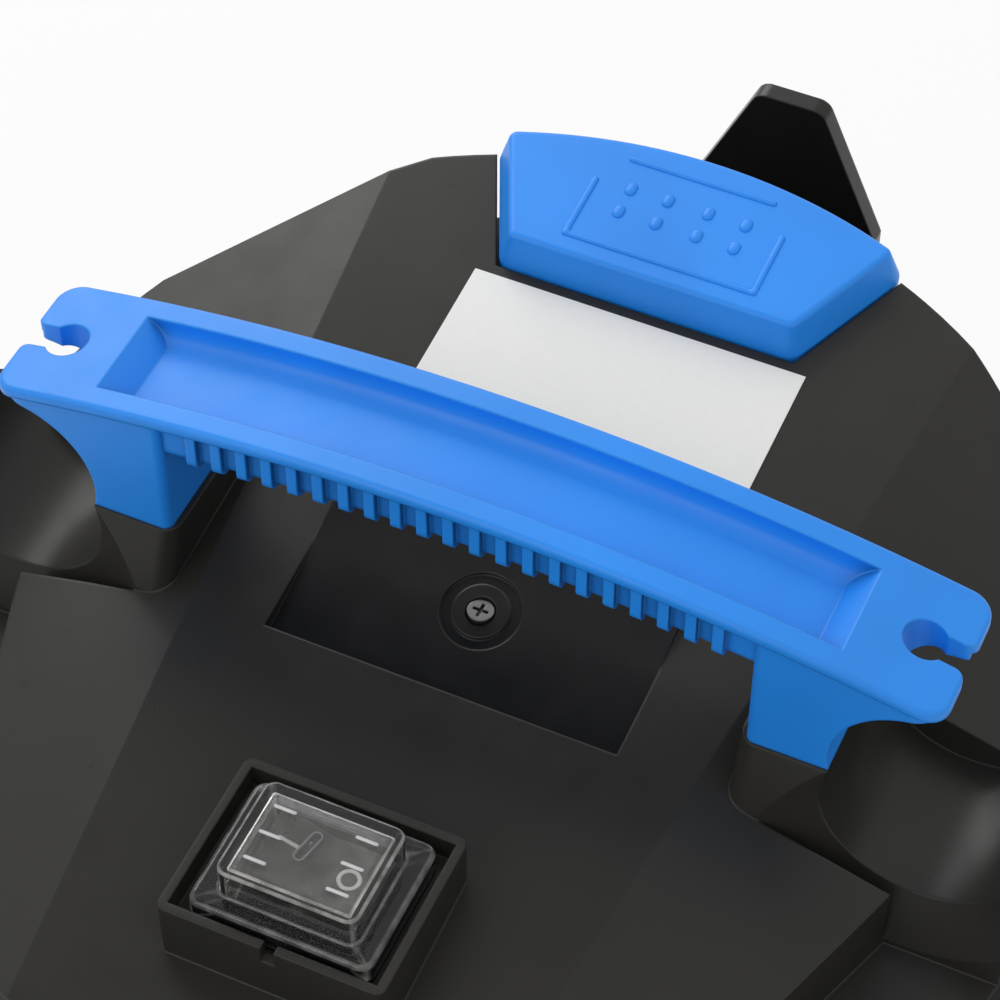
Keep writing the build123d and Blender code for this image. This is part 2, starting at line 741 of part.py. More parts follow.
def scoop_floor(drop):
    """Long line of the finger scoop's floor and its tail, in Y and Z."""
    front = (SCOOP_FRONT, DECK_Z + SCOOP_RISE + SCOOP_SLOPE * SCOOP_FRONT - drop)
    back = (SCOOP_BACK, DECK_Z + SCOOP_RISE + SCOOP_SLOPE * SCOOP_BACK - drop)
    floor = ThreePointArc(front, (0, SCOOP_Z - drop), back)
    tail = Line(back, (SCOOP_TAIL, deck_height(SCOOP_TAIL) - drop))
    return floor, tail


def scoop(drop, level):
    """Prism between the scoop's floor, lowered by a drop, and a level."""
    floor, tail = scoop_floor(drop)
    sides = Polyline(tail @ 1, (SCOOP_TAIL, level), (SCOOP_FRONT, level), floor @ 0)
    face = Plane.YZ * make_face([*floor.edges(), *tail.edges(), *sides.edges()])
    return Pos(-SCOOP_HALF, 0, 0) * extrude(face, 2 * SCOOP_HALF)


def button_plan(grow, rear_radius):
    """Plan of the push block: straight front, splayed sides and a round rear."""
    stretch = math.hypot(1, BUTTON_SPLAY)
    front = BUTTON_FRONT - grow
    front_half = BUTTON_HALF + grow * stretch - BUTTON_SPLAY * grow
    base_half = front_half - BUTTON_SPLAY * front
    # The rear corner is where the splayed side meets the rear circle
    a = 1 + BUTTON_SPLAY ** 2
    b = BUTTON_SPLAY * base_half
    c = base_half ** 2 - rear_radius ** 2
    rear = (-b + math.sqrt(b * b - a * c)) / a
    rear_half = base_half + BUTTON_SPLAY * rear
    sides = Polyline((-rear_half, rear), (-front_half, front), (front_half, front), (rear_half, rear))
    back = ThreePointArc((rear_half, rear), (0, rear_radius), (-rear_half, rear))
    return make_face([*sides.edges(), *back.edges()])


def pocket_floor():
    """Height of the floor under the push block."""
    return deck_height(BUTTON_FRONT) - POCKET_DEPTH


def make_motor_cover():
    """Upper housing as one moulding: deck, pedestals, scoop, switch rim and push-block pocket."""
    pedestal = make_pedestal()
    cover = cover_form(0) + pedestal + mirrored(pedestal) + scoop(0, LOWER_DECK_Z)
    half_y = BEZEL_HALF_Y
    rim_low = LOWER_DECK_Z
    rim_high = DECK_Z + BEZEL_RISE
    front, back = SWITCH_Y - half_y, SWITCH_Y + half_y
    rim = slab(-BEZEL_HALF_X, BEZEL_HALF_X, front, back, rim_low, rim_high)
    rim = fillet(rim.edges().filter_by(Axis.Z), BEZEL_WALL)
    cover += rim
    pad_front = -COVER_R - SOCKET_PAD_OUT
    pad_top = SOCKET_Z + SOCKET_PAD_HALF
    cover += slab(-SOCKET_PAD_HALF, SOCKET_PAD_HALF, pad_front, -COVER_R * 0.9, COVER_Z, pad_top)
    # Hollow, keeping a wall round every dip in the deck
    floor = pocket_floor()
    hollow = cover_form(COVER_WALL)
    hollow -= scoop(COVER_WALL, HANDLE_TOP_Z)
    thick = COVER_WALL
    hollow -= slab(-SCOOP_HALF - thick, SCOOP_HALF + thick, SCOOP_FRONT - thick, SCOOP_TAIL + thick,
                   (scoop_floor(thick)[0] @ 0).Y, HANDLE_TOP_Z)
    hollow -= groove(COVER_WALL)
    hollow -= mirrored(groove(COVER_WALL))
    hollow -= cyl(CENTRE_BOSS_R, MOUNT_TOP_Z, DECK_Z)
    pocket_wall = button_plan(BUTTON_SLIDE_GAP + POCKET_WALL, COVER_R)
    hollow -= Pos(0, 0, floor - POCKET_WALL) * extrude(pocket_wall, FAR / 2)
    room = slab(PEDESTAL_X + COVER_WALL, GROOVE_X - GROOVE_R - COVER_WALL, PEDESTAL_FRONT + COVER_WALL,
                PEDESTAL_BACK - COVER_WALL, LOWER_DECK_Z, PEDESTAL_Z - PEDESTAL_ROOF)
    hollow += room
    hollow += mirrored(room)
    boss_top = COVER_Z + COVER_SCREW_BITE + COVER_BOSS_ROOF
    for angle in COVER_SCREW_ANGLES:
        hollow -= turned(cyl(COVER_BOSS_R, COVER_Z, boss_top, COVER_SCREW_RING_R), angle)
    cover -= hollow
    # Dips and holes
    cover -= groove(0)
    cover -= mirrored(groove(0))
    cover -= scoop(0, HANDLE_TOP_Z)
    tilt = math.degrees(math.atan(SCOOP_SLOPE))
    screw_ring = ring(SCREW_RING_R, SCREW_RING_INNER, -SCREW_RING_DEPTH, SCREW_RING_R)
    cover -= Pos(0, 0, SCOOP_Z) * Rot(tilt, 0, 0) * screw_ring
    cover -= cyl(SCREW_HEAD_R + SCREW_CLEAR, SCOOP_Z + SCREW_PROUD - SCREW_HEAD, HANDLE_TOP_Z)
    cover -= cyl(SCREW_R, MOUNT_TOP_Z, SCOOP_Z)
    inner_x, inner_y = BEZEL_HALF_X - BEZEL_WALL, half_y - BEZEL_WALL
    cover -= slab(-inner_x, inner_x, front + BEZEL_WALL, back - BEZEL_WALL, BEZEL_FLOOR_Z, rim_high)
    hole_x, hole_y = SWITCH_BODY_X / 2 + SWITCH_FIT, SWITCH_BODY_Y / 2 + SWITCH_FIT
    cover -= slab(-hole_x, hole_x, SWITCH_Y - hole_y, SWITCH_Y + hole_y, rim_low, BEZEL_FLOOR_Z)
    notch_half = BEZEL_NOTCH / 2
    cover -= slab(-notch_half, notch_half, front, front + BEZEL_WALL, rim_high - BEZEL_NOTCH_DEPTH, rim_high)
    pocket = button_plan(BUTTON_SLIDE_GAP, COVER_R * 1.2)
    cover -= Pos(0, 0, floor) * extrude(pocket, FAR / 2)
    cover -= cyl(VALVE_STEM_R + RUN_FIT, floor - POCKET_WALL, floor, 0, VALVE_Y)
    for x, y in handle_screw_places():
        cover -= cyl(HANDLE_SCREW_R + RUN_FIT, PEDESTAL_Z - PEDESTAL_ROOF, PEDESTAL_Z, x, y)
    for angle in COVER_SCREW_ANGLES:
        cover -= turned(cyl(COVER_SCREW_R, COVER_Z, COVER_Z + COVER_SCREW_BITE, COVER_SCREW_RING_R), angle)
    cover -= rod_y(SOCKET_BODY_R, pad_front, pad_front + SOCKET_BODY_DEPTH, 0, SOCKET_Z)
    window = grille_window()
    cover -= window
    cover -= mirrored(window)
    return cover - gland_rod(GLAND_R, COVER_R * 0.8, COVER_R * 1.1)


# Handle

def arch_at(x, drop):
    """Height of the handle's arched top, or of a line a given drop below it."""
    radius = ARCH_R - drop
    return HANDLE_TOP_Z - ARCH_R + math.sqrt(radius * radius - x * x)


def arch_band(half, upper, lower):
    """Face between two arched lines, square at its ends."""
    high, low = arch_at(half, upper), arch_at(half, lower)
    top = ThreePointArc((-half, high), (0, arch_at(0, upper)), (half, high))
    bottom = ThreePointArc((half, low), (0, arch_at(0, lower)), (-half, low))
    right = Line(top @ 1, bottom @ 0)
    left = Line(bottom @ 1, top @ 0)
    return make_face([*top.edges(), *right.edges(), *bottom.edges(), *left.edges()])


def handle_screw_places():
    """Middle of each handle screw: two to a post."""
    outer = END_CURVE_X - END_CURVE_R
    x = (POST_INNER + outer) / 2
    return [(side * x, row * HANDLE_SCREW_Y) for side in (-1, 1) for row in (-1, 1)]


def end_curve():
    """Round hollow under the right-hand end of the handle."""
    centre_z = arch_at(HANDLE_HALF, END_LIP) - END_CURVE_R
    return rod_y(END_CURVE_R, -FAR / 4, FAR / 4, END_CURVE_X, centre_z)


def make_post():
    """Right-hand post and end block, before the end curve is cut out of them."""
    end = HANDLE_HALF - HANDLE_HALF_WIDTH + POST_HALF_WIDTH
    post = slab(POST_INNER, end, -POST_HALF_WIDTH, POST_HALF_WIDTH, PEDESTAL_Z, HANDLE_TOP_Z)
    inner = post.edges().filter_by(Axis.Z).filter_by(lambda edge: edge.center().X < POST_INNER + 1)
    post = fillet(inner, POST_EDGE)
    outer = post.edges().filter_by(Axis.Z).filter_by(lambda edge: edge.center().X > end - 1)
    post = fillet(outer, HANDLE_CORNER)
    return post & side_prism(arch_band(HANDLE_HALF, HANDLE_LIP / 2, HANDLE_RISE), -FAR / 4, FAR / 4)


def make_end_notch():
    """Right-hand cord notch: a round hole with a narrow mouth and rounded lips at the handle's end."""
    low, high = DECK_Z, HANDLE_TOP_Z
    half = NOTCH_MOUTH / 2
    hole = cyl(NOTCH_R, low, high, NOTCH_X)
    mouth = slab(NOTCH_X, HANDLE_HALF + 1, -half, half, low, high)
    notch = hole + mouth
    lip_x = HANDLE_HALF - NOTCH_LIP
    for side in (-1, 1):
        near, far = sorted((side * half, side * (half + NOTCH_LIP)))
        corner = slab(lip_x, HANDLE_HALF + 1, near, far, low, high)
        notch += corner - cyl(NOTCH_LIP, low, high, lip_x, side * (half + NOTCH_LIP))
    return notch


def grip_band(face, half_width):
    """Arched band under the handle's plate, rounded along its two lower edges."""
    band = side_prism(face, -half_width, half_width)
    long_edges = band.edges().filter_by(lambda edge: edge.length > POST_INNER)
    return fillet(long_edges.sort_by(Axis.Z)[:2], RIB_ROUND)


def make_handle():
    """Carry handle: arched plate, posts, ribbed grip, trough and end notches."""
    plate = side_prism(arch_band(HANDLE_HALF, 0, HANDLE_LIP), -HANDLE_HALF_WIDTH, HANDLE_HALF_WIDTH)
    corners = plate.edges().filter_by(Axis.Z)
    plate = fillet(corners.filter_by(lambda edge: abs(edge.center().X) > HANDLE_HALF - 0.1), HANDLE_CORNER)
    rim = plate.faces().sort_by(Axis.Z)[-1].outer_wire().edges()
    plate = fillet(rim, HANDLE_EDGE)
    post = make_post()
    handle = plate + post + mirrored(post)
    handle -= end_curve()
    handle -= mirrored(end_curve())
    core_half = POST_HALF_WIDTH - RIB_OUT
    grip_half = POST_INNER + 1
    core = arch_band(grip_half, HANDLE_LIP / 2, HANDLE_LIP + RIB_DEPTH)
    handle += grip_band(core, core_half)
    pitch = RIB_SPAN / (RIB_COUNT - 1)
    band = grip_band(core, POST_HALF_WIDTH)
    for index in range(RIB_COUNT):
        x = -RIB_SPAN / 2 + index * pitch
        slice_box = slab(x - RIB_THICK / 2, x + RIB_THICK / 2, -FAR / 4, FAR / 4, DECK_Z, HANDLE_TOP_Z)
        handle += band & slice_box
    trough = side_prism(make_face(trough_outline()), -TROUGH_HALF_WIDTH, TROUGH_HALF_WIDTH)
    handle -= fillet(trough_edges(trough), TROUGH_CORNER)
    notch = make_end_notch()
    handle -= notch
    handle -= mirrored(notch)
    for x, y in handle_screw_places():
        handle -= cyl(HANDLE_SCREW_R, PEDESTAL_Z, PEDESTAL_Z + HANDLE_SCREW_BITE, x, y)
    return handle


def trough_outline():
    """Long section of the grip trough, with sloping ends."""
    floor_half = TROUGH_HALF - TROUGH_RAMP
    floor_z = arch_at(floor_half, TROUGH_DEPTH)
    end_z = arch_at(TROUGH_HALF, 0)
    high = HANDLE_TOP_Z + HANDLE_ARCH
    floor = ThreePointArc((-floor_half, floor_z), (0, arch_at(0, TROUGH_DEPTH)), (floor_half, floor_z))
    rest = Polyline((floor_half, floor_z), (TROUGH_HALF, end_z), (TROUGH_HALF, high), (-TROUGH_HALF, high),
                    (-TROUGH_HALF, end_z), (-floor_half, floor_z))
    return [*floor.edges(), *rest.edges()]


def trough_edges(trough):
    """The two long edges at the foot of the trough's sides."""
    def low_and_long(edge):
        return edge.length > TROUGH_HALF and edge.center().Z < HANDLE_TOP_Z
    return trough.edges().filter_by(low_and_long)


def make_handle_screws():
    """Four screws up through the pedestals into the posts."""
    seat = PEDESTAL_Z - PEDESTAL_ROOF
    screws = []
    for x, y in handle_screw_places():
        shank = cyl(HANDLE_SCREW_R, seat, PEDESTAL_Z + HANDLE_SCREW_BITE, x, y)
        screws.append(shank + cyl(HANDLE_SCREW_HEAD_R, seat - HANDLE_SCREW_HEAD, seat, x, y))
    return Compound([solid for screw in screws for solid in screw.solids()])


def make_centre_screw():
    """Cross-head screw from the scoop into the motor's top bracket."""
    top = SCOOP_Z + SCREW_PROUD
    screw = cyl(SCREW_HEAD_R, top - SCREW_HEAD, top)
    screw += cyl(SCREW_R, MOTOR_TOP_Z - MOTOR_CAP + 1, top - SCREW_HEAD)
    arm, width = SCREW_HEAD_R * 0.6, SCREW_HEAD_R * 0.12
    screw -= slab(-arm, arm, -width, width, top - SCREW_HEAD / 2, top)
    return screw - slab(-width, width, -arm, arm, top - SCREW_HEAD / 2, top)


def make_cover_screws():
    """Screws up through the brim into the cover's bosses."""
    screw = cyl(COVER_SCREW_R, PLATE_Z, COVER_Z + COVER_SCREW_BITE, COVER_SCREW_RING_R)
    screw += cyl(COVER_SCREW_HEAD_R, PLATE_Z - COVER_SCREW_HEAD, PLATE_Z, COVER_SCREW_RING_R)
    return Compound([solid for angle in COVER_SCREW_ANGLES for solid in turned(screw, angle).solids()])


# Switch

def rounded_slab(size_x, size_y, low, high, corner):
    """Box on the switch's middle with rounded corners in plan."""
    box = slab(-size_x / 2, size_x / 2, SWITCH_Y - size_y / 2, SWITCH_Y + size_y / 2, low, high)
    return fillet(box.edges().filter_by(Axis.Z), corner)


def make_switch_body():
    """Snap-in switch housing with its panel flange and a well for the rocker."""
    low, high = BEZEL_FLOOR_Z - SWITCH_BODY_DEPTH, BEZEL_FLOOR_Z + SWITCH_FLANGE
    body = rounded_slab(SWITCH_FLANGE_X, SWITCH_FLANGE_Y, BEZEL_FLOOR_Z, high, SWITCH_CORNER)
    body += rounded_slab(SWITCH_BODY_X, SWITCH_BODY_Y, low, BEZEL_FLOOR_Z, SWITCH_BODY_CORNER)
    well_x, well_y = ROCKER_X + 2 * ROCKER_GAP, ROCKER_Y + 2 * ROCKER_GAP
    floor = BEZEL_FLOOR_Z - ROCKER_DEPTH - 2 * ROCKER_GAP
    body -= rounded_slab(well_x, well_y, floor, high, SWITCH_BODY_CORNER)
    reach = well_y / 2 + ROCKER_PIVOT_BITE + SEAT_GAP
    return body - rod_y(ROCKER_PIVOT_R + RUN_FIT, SWITCH_Y - reach, SWITCH_Y + reach, 0, BEZEL_FLOOR_Z)


def make_switch_rocker():
    """Rocker with a shallow V top on two stub pivots, stored pressed at its right end."""
    half = ROCKER_X / 2
    dip = half * math.tan(math.radians(ROCKER_TILT))
    waist = half - ROCKER_WAIST
    face = make_face(Polyline(
        (-half, ROCKER_TOP + dip), (0, ROCKER_TOP), (half, ROCKER_TOP + dip),
        (waist, 0), (half / 2, -ROCKER_DEPTH), (-half / 2, -ROCKER_DEPTH), (-waist, 0), close=True))
    front, back = SWITCH_Y - ROCKER_Y / 2, SWITCH_Y + ROCKER_Y / 2
    rocker = side_prism(face, front, back)
    bite = ROCKER_GAP + ROCKER_PIVOT_BITE
    rocker += rod_y(ROCKER_PIVOT_R, front - bite, back + bite, 0, 0)
    return Pos(0, 0, BEZEL_FLOOR_Z) * Rot(0, ROCKER_TILT, 0) * rocker


def make_switch_cover():
    """Clear splash cap: a thick flange on the switch and a raised hollow box over the rocker."""
    low = BEZEL_FLOOR_Z + SWITCH_FLANGE
    shelf = low + CAP_FLANGE
    high = shelf + CAP_HEIGHT
    flange = rounded_slab(SWITCH_FLANGE_X, SWITCH_FLANGE_Y, low, shelf, SWITCH_CORNER)
    flange = fillet(flange.faces().sort_by(Axis.Z)[-1].edges(), CAP_FLANGE_EDGE)
    box = rounded_slab(CAP_X, CAP_Y, low, high, CAP_CORNER)
    cap = flange + fillet(box.faces().sort_by(Axis.Z)[-1].edges(), CAP_EDGE)
    inner_corner = CAP_CORNER - CAP_WALL / 2
    return cap - rounded_slab(CAP_X - 2 * CAP_WALL, CAP_Y - 2 * CAP_WALL, low, high - CAP_ROOF, inner_corner)


def make_rating_label():
    """Bare sticker on the deck behind the handle."""
    middle = LABEL_BACK - LABEL_DEPTH / 2
    foot = (Align.CENTER, Align.CENTER, Align.MIN)
    place = Plane(origin=(0, middle, deck_height(middle)), x_dir=(1, 0, 0), z_dir=(0, -DECK_SLOPE, 1))
    return place * Box(2 * LABEL_HALF, LABEL_DEPTH, LABEL_THICK, align=foot)


# Filter-clean push block and valve

def make_clean_button():
    """Hollow push block with a stem boss."""
    low = deck_height(BUTTON_FRONT) - BUTTON_SKIRT
    middle = (BUTTON_FRONT + BUTTON_R) / 2
    plan = button_plan(0, BUTTON_R)
    plan = Pos(0, -middle, 0) * fillet(plan.vertices(), BUTTON_CORNER)
    deck = Plane(origin=(0, middle, deck_height(middle)), x_dir=(1, 0, 0), z_dir=(0, -DECK_SLOPE, 1))
    block = extrude(deck * plan, BUTTON_RISE, taper=BUTTON_DRAFT)
    block = fillet(block.faces().sort_by(Axis.Z)[-1].edges(), BUTTON_EDGE)
    skirt = extrude(deck * plan, FAR / 4, dir=(0, 0, -1))
    block += skirt & slab(-FAR, FAR, -FAR, FAR, low, DECK_Z + FAR)
    inside = Pos(0, 0, low) * extrude(button_plan(-BUTTON_WALL, BUTTON_R - BUTTON_WALL), FAR / 4)
    inside -= above((0, 0, DECK_Z + BUTTON_RISE - BUTTON_WALL), (0, -DECK_SLOPE, 1))
    block -= inside
    roof = deck_height(VALVE_Y) + BUTTON_RISE - BUTTON_WALL / 2
    return block + cyl(STEM_BOSS_R, stem_top(), roof, 0, VALVE_Y)


def stem_top():
    """Height where the valve stem meets the boss in the push block."""
    return deck_height(VALVE_Y) - BUTTON_SKIRT / 2


def make_clean_valve():
    """Valve disc under the brim on a long stem."""
    seat = PLATE_Z - VALVE_SEAL - SEAT_GAP
    disc = cyl(VALVE_DISC_R, seat - VALVE_DISC, seat, 0, VALVE_Y)
    return disc + cyl(VALVE_STEM_R, seat, stem_top(), 0, VALVE_Y)


def make_valve_seal():
    """Rubber seat round the valve hole, under the brim."""
    return ring(VALVE_DISC_R, VALVE_HOLE_R, PLATE_Z - VALVE_SEAL, PLATE_Z, 0, VALVE_Y)


def make_button_spring():
    """Return spring between the pocket's floor and the push block's roof."""
    low = pocket_floor() + SPRING_WIRE_R + SEAT_GAP
    high = deck_height(VALVE_Y - SPRING_R) + BUTTON_RISE - BUTTON_WALL - SPRING_WIRE_R - SEAT_GAP
    path = Helix(pitch=(high - low) / SPRING_TURNS, height=high - low, radius=SPRING_R)
    section = Plane(origin=path @ 0, z_dir=path % 0) * Circle(SPRING_WIRE_R)
    return Pos(0, VALVE_Y, low) * sweep(section, path=path)


# Rear cord hook

def make_rear_hook():
    """Upright prong on a shelf behind the housing."""
    top = DECK_Z - HOOK_TOP_DROP
    shelf_z = COVER_Z + HOOK_SHELF_RISE
    waist = top - HOOK_FLARE_HEIGHT
    outline = Polyline(
        (-HOOK_BASE_HALF, shelf_z), (-HOOK_BASE_HALF, waist), (-HOOK_TOP_HALF, top),
        (HOOK_TOP_HALF, top), (HOOK_BASE_HALF, waist), (HOOK_BASE_HALF, shelf_z), close=True)
    prong = side_prism(make_face(outline), REACH - HOOK_PLATE, REACH)
    tips = prong.edges().filter_by(Axis.Y).filter_by(lambda edge: edge.center().Z > top - 0.1)
    prong = fillet(tips, HOOK_CORNER)
    shelf = slab(-HOOK_SHELF_HALF, HOOK_SHELF_HALF, COVER_R / 2, REACH, shelf_z, shelf_z + HOOK_SHELF)
    pad_middle = shelf_z + HOOK_SHELF / 2
    pad_low, pad_high = pad_middle - HOOK_PAD_HEIGHT / 2, pad_middle + HOOK_PAD_HEIGHT / 2
    pad = ring(COVER_R + HOOK_PAD, COVER_R, pad_low, pad_high)
    pad &= slab(-HOOK_PAD_HALF, HOOK_PAD_HALF, 0, REACH, pad_low, pad_high)
    return prong + (shelf - cyl(COVER_R, COVER_Z, DECK_Z)) + pad


# Outlet socket

def socket_face():
    """Distance of the flat socket pad in front of the motor's axis, as a Y value."""
    return -COVER_R - SOCKET_PAD_OUT


def lid_axis():
    """Y and Z of the lid's hinge."""
    y = socket_face() - SOCKET_FLANGE - SEAT_GAP - LID_KNUCKLE_R
    return y, SOCKET_Z + SOCKET_FLANGE_HALF - LID_KNUCKLE_R


def make_socket_outlet():
    """Socket with its flange, plug recess, contact holes and lid ears."""
    face = socket_face()
    front = face - SOCKET_FLANGE
    half = SOCKET_FLANGE_HALF
    socket = slab(-half, half, front, face, SOCKET_Z - half, SOCKET_Z + half)
    socket = fillet(socket.edges().filter_by(Axis.Y), SOCKET_CORNER)
    socket += rod_y(SOCKET_BODY_R, face, face + SOCKET_BODY_DEPTH, 0, SOCKET_Z)
    floor = front + SOCKET_RECESS_DEPTH
    socket -= rod_y(SOCKET_RECESS_R, front, floor, 0, SOCKET_Z)
    for side in (-1, 1):
        socket -= rod_y(CONTACT_R, floor, floor + CONTACT_DEPTH, side * CONTACT_SPAN / 2, SOCKET_Z)
    y, z = lid_axis()
    left = LID_KNUCKLE_HALF + SLIDE_GAP
    ear = rod_x(LID_KNUCKLE_R, left, left + LID_EAR, y, z)
    ear += slab(left, left + LID_EAR, y, front, z - LID_KNUCKLE_R, z + LID_KNUCKLE_R)
    ear -= rod_x(LID_PIN_R, left, left + LID_EAR, y, z)
    return socket + ear + mirrored(ear)


def make_socket_lid():
    """Flap over the socket, hung from its top edge."""
    y, z = lid_axis()
    front = y - LID_KNUCKLE_R
    low = SOCKET_Z - LID_HALF
    lid = slab(-LID_HALF, LID_HALF, front, front + LID_THICK, low, z - LID_KNUCKLE_R - SLIDE_GAP)
    lid = fillet(lid.edges().filter_by(Axis.Y), SOCKET_CORNER)
    lid += slab(-LID_KNUCKLE_HALF, LID_KNUCKLE_HALF, front, front + LID_THICK, z - 2 * LID_KNUCKLE_R, z)
    lid += rod_x(LID_KNUCKLE_R, -LID_KNUCKLE_HALF, LID_KNUCKLE_HALF, y, z)
    return lid - rod_x(LID_PIN_R + RUN_FIT, -LID_KNUCKLE_HALF, LID_KNUCKLE_HALF, y, z)


def make_lid_pin():
    """Hinge pin of the socket lid."""
    y, z = lid_axis()
    end = LID_KNUCKLE_HALF + SLIDE_GAP + LID_EAR
    return rod_x(LID_PIN_R, -end, end, y, z)


# Cord gland and exhaust grilles

def gland_rod(radius, inner, outer):
    """Cylinder pointing out of the housing at the cord gland."""
    middle = (inner + outer) / 2
    rod = Pos(middle, 0, COVER_Z + GLAND_RISE) * Rot(0, 90, 0) * Cylinder(radius, outer - inner)
    return turned(rod, GLAND_ANGLE)


def make_cord_gland():
    """Cable gland with a collar seated on the housing and an open bore for the cord."""
    inner = COVER_R - COVER_WALL - GLAND_COLLAR
    gland = gland_rod(GLAND_R, inner, COVER_R + GLAND_OUT)
    collar = gland_rod(GLAND_COLLAR_R, COVER_R * 0.9, COVER_R + GLAND_COLLAR)
    gland += collar - cyl(COVER_R, COVER_Z, DECK_Z)
    return gland - gland_rod(GLAND_BORE_R, inner, COVER_R + GLAND_OUT)


def grille_window():
    """Right-hand exhaust window in the housing's wall."""
    low = COVER_Z + GRILLE_RISE
    return slab(COVER_R * 0.7, COVER_R * 1.1, -GRILLE_HALF, GRILLE_HALF, low, low + GRILLE_HEIGHT)


def make_exhaust_grilles():
    """Slotted inserts in the two exhaust windows."""
    low = COVER_Z + GRILLE_RISE
    wall = ring(COVER_R, COVER_R - COVER_WALL, low, low + GRILLE_HEIGHT)
    grille = wall & grille_window()
    pitch = 2 * (GRILLE_HALF - GRILLE_FRAME) / GRILLE_SLOTS
    for index in range(GRILLE_SLOTS):
        front = -GRILLE_HALF + GRILLE_FRAME + index * pitch + GRILLE_BAR / 2
        back = front + pitch - GRILLE_BAR
        grille -= slab(0, FAR, front, back, low + GRILLE_FRAME, low + GRILLE_HEIGHT - GRILLE_FRAME)
    return both(grille)


# Motor

def make_fan_can():
    """Fan chamber with an inlet eye, ports in its top and a cup for the lower bearing."""
    can = cyl(CAN_R, CAN_Z, CAN_TOP_Z) - cyl(CAN_R - CAN_WALL, CAN_Z + CAN_WALL, CAN_TOP_Z - CAN_WALL)
    can -= cyl(CAN_INLET_R, CAN_Z, CAN_Z + CAN_WALL)
    can += cyl(BEARING_R + BEARING_CUP_WALL, CAN_TOP_Z, CAN_TOP_Z + BEARING_WIDTH)
    can -= cyl(BEARING_R, CAN_TOP_Z, CAN_TOP_Z + BEARING_WIDTH)
    can -= cyl(BEARING_R - BEARING_CUP_WALL, CAN_TOP_Z - CAN_WALL, CAN_TOP_Z)
    port = cyl(CAN_PORT_R, CAN_TOP_Z - CAN_WALL, CAN_TOP_Z, CAN_PORT_RING_R)
    for index in range(CAN_PORTS):
        can -= turned(port, index * 360 / CAN_PORTS)
    return can


def make_motor_seal():
    """Rubber ring under the fan chamber."""
    return ring(MOTOR_SEAL_R, INTAKE_R, WELL_Z, CAN_Z)


def make_bearing(low):
    """Closed ball bearing with shallow shield grooves."""
    high = low + BEARING_WIDTH
    bearing = ring(BEARING_R, SHAFT_R + RUN_FIT, low, high)
    groove_out, groove_in = BEARING_R * 0.75, BEARING_R * 0.6
    bearing -= ring(groove_out, groove_in, high - BEARING_GROOVE, high)
    return bearing - ring(groove_out, groove_in, low, low + BEARING_GROOVE)


def make_motor_bracket():
    """Motor frame: base ring, two posts, brush arms and the upper bearing's cup."""
    bracket = ring(BRACKET_RING_R, BRACKET_RING_R - BRACKET_RING_WIDTH, CAN_TOP_Z, STATOR_Z)
    bar_low = SHAFT_TOP_Z
    for side in (-1, 1):
        middle = side * (BRACKET_RING_R - BRACKET_POST / 2)
        front, back = middle - BRACKET_POST / 2, middle + BRACKET_POST / 2
        bracket += slab(-BRACKET_POST_HALF, BRACKET_POST_HALF, front, back, STATOR_Z, MOTOR_TOP_Z)
    bracket += slab(-BRACKET_POST_HALF, BRACKET_POST_HALF, -BRACKET_RING_R, BRACKET_RING_R,
                    bar_low, MOTOR_TOP_Z)
    reach = BRACKET_ARM_REACH
    bracket += slab(-reach, reach, -BRACKET_ARM_HALF, BRACKET_ARM_HALF, ARM_Z, UPPER_BEARING_Z)
    bracket += cyl(BEARING_R + BEARING_CUP_WALL, ARM_Z, MOTOR_TOP_Z)
    bracket -= cyl(BEARING_R, UPPER_BEARING_Z, SHAFT_TOP_Z)
    bracket -= cyl(BEARING_R - BEARING_CUP_WALL, ARM_Z, UPPER_BEARING_Z)
    return bracket - cyl(SCREW_R, SHAFT_TOP_Z, MOTOR_TOP_Z)


def make_motor_mount():
    """Rubber ring between the motor's top and the cover."""
    return ring(CENTRE_BOSS_R, SCREW_R + SCREW_CLEAR, MOTOR_TOP_Z, MOUNT_TOP_Z)


def make_stator():
    """Stator core with four pole gaps."""
    stator = ring(STATOR_R, STATOR_BORE_R, STATOR_Z, STATOR_Z + STATOR_HEIGHT)
    for index in range(POLES):
        gap = slab(STATOR_BORE_R / 2, STATOR_BORE_R + POLE_GAP_DEPTH, -POLE_GAP_HALF, POLE_GAP_HALF,
                   STATOR_Z, STATOR_Z + STATOR_HEIGHT)
        stator -= turned(gap, (index + 0.5) * 360 / POLES)
    return stator


def make_carbon_brushes():
    """Two brushes against the commutator."""
    start = COMMUTATOR_R + SEAT_GAP
    low, high = BRUSH_Z - BRUSH_HALF, BRUSH_Z + BRUSH_HALF
    return both(slab(start, start + BRUSH_LENGTH, -BRUSH_HALF, BRUSH_HALF, low, high))


def make_brush_holders():
    """Two square tubes under the bracket's arms that hold the brushes."""
    start = COMMUTATOR_R + SEAT_GAP + HOLDER_GAP
    outer = BRUSH_HALF + HOLDER_WALL
    end = start + HOLDER_LENGTH
    holder = slab(start, end, -outer, outer, BRUSH_Z - outer, BRUSH_Z + outer)
    hole_end = end - HOLDER_WALL
    low, high = BRUSH_Z - BRUSH_HALF, BRUSH_Z + BRUSH_HALF
    return both(holder - slab(start, hole_end, -BRUSH_HALF, BRUSH_HALF, low, high))


def make_rotor_shaft():
    """Motor shaft from the impeller to the upper bearing."""
    return cyl(SHAFT_R, IMPELLER_Z + IMPELLER_DISC, SHAFT_TOP_Z)


